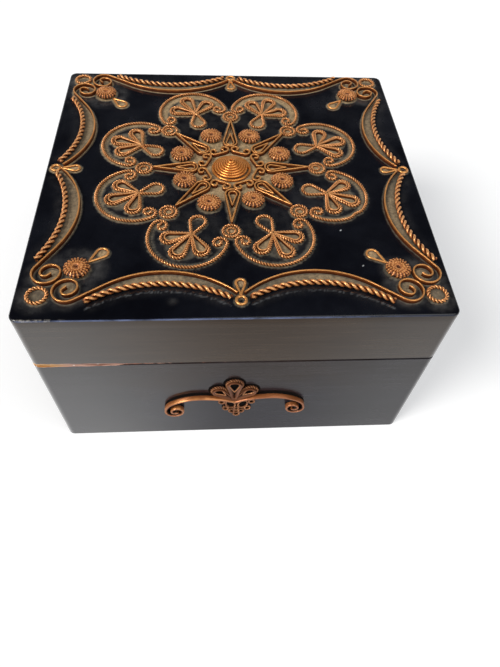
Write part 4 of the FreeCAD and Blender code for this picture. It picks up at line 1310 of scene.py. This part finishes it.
columns = 2 * round((half_width - arris) / grid_step)
rows = 2 * round((half_depth - arris) / grid_step)
grid_x, grid_y = np.meshgrid(
    np.linspace(arris - half_width, half_width - arris, columns + 1),
    np.linspace(arris - half_depth, half_depth - arris, rows + 1),
)
out_x = np.maximum(np.abs(grid_x) - corner[0], 0)
out_y = np.maximum(np.abs(grid_y) - corner[1], 0)
in_corner = (out_x > 0) & (out_y > 0)
shrink = np.where(in_corner, np.maximum(out_x, out_y) / np.maximum(np.hypot(out_x, out_y), 1e-9), 1.0)
top_x = np.where(in_corner, np.sign(grid_x) * (corner[0] + out_x * shrink), grid_x)
top_y = np.where(in_corner, np.sign(grid_y) * (corner[1] + out_y * shrink), grid_y)
top_points = np.stack([top_x.ravel(), top_y.ravel(), np.full(top_x.size, lid_top)], 1)
numbers = np.arange(top_x.size).reshape(top_x.shape)
panel_faces = grid_quads(numbers).tolist()

before = grid_edge(numbers)
edge = top_points[before, :2]
outward = unit(np.sign(edge) * np.maximum(np.abs(edge) - corner, 0))
wall_start = len(panel_faces) + 3 * len(edge)
panel_points = [top_points]
for angle in (30, 60, 90, None):
    lean = math.radians(90 if angle is None else angle)
    level = rail_top if angle is None else lid_top - arris * (1 - math.cos(lean))
    here = sum(len(points) for points in panel_points) + np.arange(len(edge))
    panel_faces += np.stack([before, here, np.roll(here, -1), np.roll(before, -1)], 1).tolist()
    panel_points.append(raised(edge + outward * arris * math.sin(lean), level))
    before = here
panel_faces.append(before[::-1].tolist())
panel_points = np.vstack(panel_points)
wall_picks = [0] * wall_start + [1] * (len(panel_faces) - wall_start)

wire_points = np.vstack(lid_wire_points)[::wire_point_step]
tree = KDTree(len(wire_points))
for index, point in enumerate(wire_points):
    tree.insert((point[0], point[1], 0), index)
tree.balance()
from_wire = np.array([tree.find((x, y, 0))[2] for x, y, _ in panel_points])


def strongest(kind, falloff):
    """The strongest mark of one kind at each point of the panel."""
    strength = np.zeros(len(panel_points))
    for x, y, radius, share in marks[kind]:
        away = np.hypot(panel_points[:, 0] - x, panel_points[:, 1] - y)
        strength = np.maximum(strength, share * falloff(away, radius))
    return strength


far_left = eased(panel_points[:, 1] - 0.6 * panel_points[:, 0], -40, 50)
film = (0.7 + 0.28 * far_left) * np.clip((1.35 + 0.12 * far_left - from_wire) / 1.1, 0, 1)
film = np.maximum(film, strongest("film", lambda away, radius: np.clip((radius + 1.0 - away) / 2.2, 0, 1)))
haze = strongest("haze", lambda away, radius: eased(away, radius + 1.5, radius - 3.5))
chips = strongest("chip", lambda away, radius: away < radius)
print("film covers", round(float((film > 0.3).mean()) * 100), "% of the lid")

# %% Lid top finish
top_lacquer, nodes, shader = new_material("lid_top_lacquer")
group = nodes.group("aged_lacquer", {"Black": rgb(5, 5, 9), "Dust": rgb(70, 76, 92), "Dust Amount": 0.1})
film_share = nodes.per_point("film")
cloudy = nodes.swing(nodes.noise(0.45, 5.0, roughness=0.65), 0.75)
mask = nodes.ease(nodes.plus(film_share, cloudy), 0.25, 0.95)
mask = nodes.times(mask, nodes.ease(film_share, 0.0, 0.25))
film_tone = nodes.ease(nodes.noise(1.3, 4.0, roughness=0.7), 0.3, 0.7)
film_colour = nodes.blend(film_tone, rgb(124, 103, 75), rgb(200, 172, 130))
film_colour = nodes.blend(nodes.ease(film_share, 0.5, 1.0), rgb(112, 107, 94), film_colour)
colour = nodes.blend(nodes.times(mask, 0.92), group["Color"], film_colour)
uneven = nodes.ease(nodes.noise(0.25, 5.0, roughness=0.6), 0.25, 0.8, 0.05, 0.75)
dull = nodes.times(nodes.per_point("haze"), uneven, nodes.math("SUBTRACT", 1.0, mask))
colour = nodes.blend(dull, colour, rgb(84, 82, 80))
axes = nodes.axes()
# Painted highlight: a bluish line of light along the front arris, weaker to the right.
arris_highlight = nodes.ease(nodes.noise(0.25, 5.0, (0.6, 1, 1), 0.6), 0.25, 0.7, 0.1, 1.0)
front_arris = nodes.ease(axes["Y"], 0.35 - half_depth, 0.15 - half_depth)
arris_highlight = nodes.times(arris_highlight, front_arris, nodes.ease(axes["X"], 20.0, 60.0, 1.0, 0.25))
colour = nodes.blend(nodes.times(arris_highlight, 0.6), colour, rgb(120, 134, 176))
chipped = nodes.ease(nodes.noise(0.5, 5.0, roughness=0.7), 0.44, 0.6)
front_edge = nodes.ease(axes["Y"], 0.8 - half_depth, 0.4 - half_depth)
chipped = nodes.times(chipped, nodes.ease(axes["X"], -55.0, -68.0), front_edge)
colour = nodes.blend(nodes.times(chipped, 0.6), colour, rgb(176, 170, 160))
colour = nodes.blend(nodes.per_point("chip"), colour, rgb(235, 238, 240))
roughness = nodes.plus(group["Roughness"], nodes.times(mask, 0.45))
nodes.fill(shader, {"Base Color": colour, "Roughness": roughness, "Specular IOR Level": 0.4})
nodes.feed(shader["Normal"], nodes.bumped(nodes.times(mask, film_tone), 0.5, 0.1))
finish_piece(
    "lid_top_board",
    panel_points,
    panel_faces,
    (top_lacquer, front_lacquer),
    "lid",
    ("lid_top_panel",),
    {"film": film, "haze": haze, "chip": chips},
    wall_picks,
)

# %% [markdown]
# ## Velvet pads
# Inside, a velvet-covered card lies on the floor of the box and another one lines the
# lid. Velvet has a soft nap, so it is rough, with a pale sheen at grazing angles. The
# cards are thin, so a gentle crown and rolled edges are enough, without a simulation.

# %% Velvet pads
pad_cells = 80

velvet, nodes, shader = new_material("red_velvet")
nap = nodes.noise(0.03, 6.0, (1, 1.8, 1.8), 0.6)
pile = nodes.blend(nodes.ease(nap, 0.3, 0.75), rgb(84, 8, 17), rgb(104, 12, 24))
nodes.fill(shader, {"Base Color": pile, "Roughness": nodes.ease(nap, 0.2, 0.8, 0.8, 1.0)})
nodes.fill(shader, {"Sheen Weight": 0.7, "Sheen Roughness": 0.4})
nodes.feed(shader["Normal"], nodes.bumped(nodes.noise(4.0, 2.0), 0.5, 0.15))


def velvet_pad(name, node, body, upward):
    """A crowned card with rolled edges that fills the space of its CAD solid."""
    low, high = corners(node)
    share = np.linspace(-1, 1, pad_cells + 1)
    share = np.sign(share) * (1 - (1 - np.abs(share)) ** 1.6)
    u, v = np.meshgrid(share, share)
    middle = (low + high) / 2
    half = (high - low) / 2
    edge = np.maximum(np.abs(u), np.abs(v))
    roll = np.sqrt(np.clip(1 - np.clip((edge - 0.97) / 0.03, 0, 1) ** 2, 0, 1))
    crown = 0.12 * (1 - u**2) * (1 - v**2)
    level = (high[2] - low[2]) * (0.55 + 0.33 * roll + crown)
    z = low[2] + level if upward else high[2] - level
    flat = np.stack([(middle[0] + half[0] * u).ravel(), (middle[1] + half[1] * v).ravel()], 1)
    points = np.vstack([np.hstack([flat, z.reshape(-1, 1)]), raised(flat, low[2] if upward else high[2])])
    numbers = np.arange(u.size).reshape(u.shape)
    front, loop = grid_quads(numbers), grid_edge(numbers)
    after = np.roll(loop, -1)
    wall = np.stack([loop, loop + u.size, after + u.size, after], 1)
    faces = np.vstack([front, wall, front[:, ::-1] + u.size])
    if not upward:
        faces = faces[:, ::-1]
    pad = finish_piece(name, points, faces.tolist(), (velvet,), body, (node,), {})


velvet_pad("floor_velvet", "base_floor_pad", "base", True)
velvet_pad("lid_velvet", "lid_pad", "lid", False)

# %% [markdown]
# ## Brass hinges
# Two small brass butt hinges are let into the rims at the back. They are old and a
# little brown, with brighter metal where hands and screwdrivers have rubbed.

# %% Brass finish
brass, nodes, shader = new_material("old_brass")
tarnish = nodes.ease(nodes.noise(0.6, 4.0), 0.35, 0.7)
metal = nodes.blend(tarnish, rgb(214, 170, 92), rgb(120, 84, 40))
nodes.fill(shader, {"Base Color": metal, "Roughness": nodes.plus(nodes.times(tarnish, 0.3), 0.25)})
nodes.fill(shader, {"Normal": nodes.bumped(nodes.noise(3.0, 3.0), 0.15, 0.05), "Metallic": 1.0})
hinge_nodes = ("hinge_base_leaves", "hinge_lid_leaves", "hinge_pins")
hinge_nodes += ("hinge_base_screws", "hinge_lid_screws")
dress(brass, *hinge_nodes)
print("brass on", len(hinge_nodes), "hinge parts")
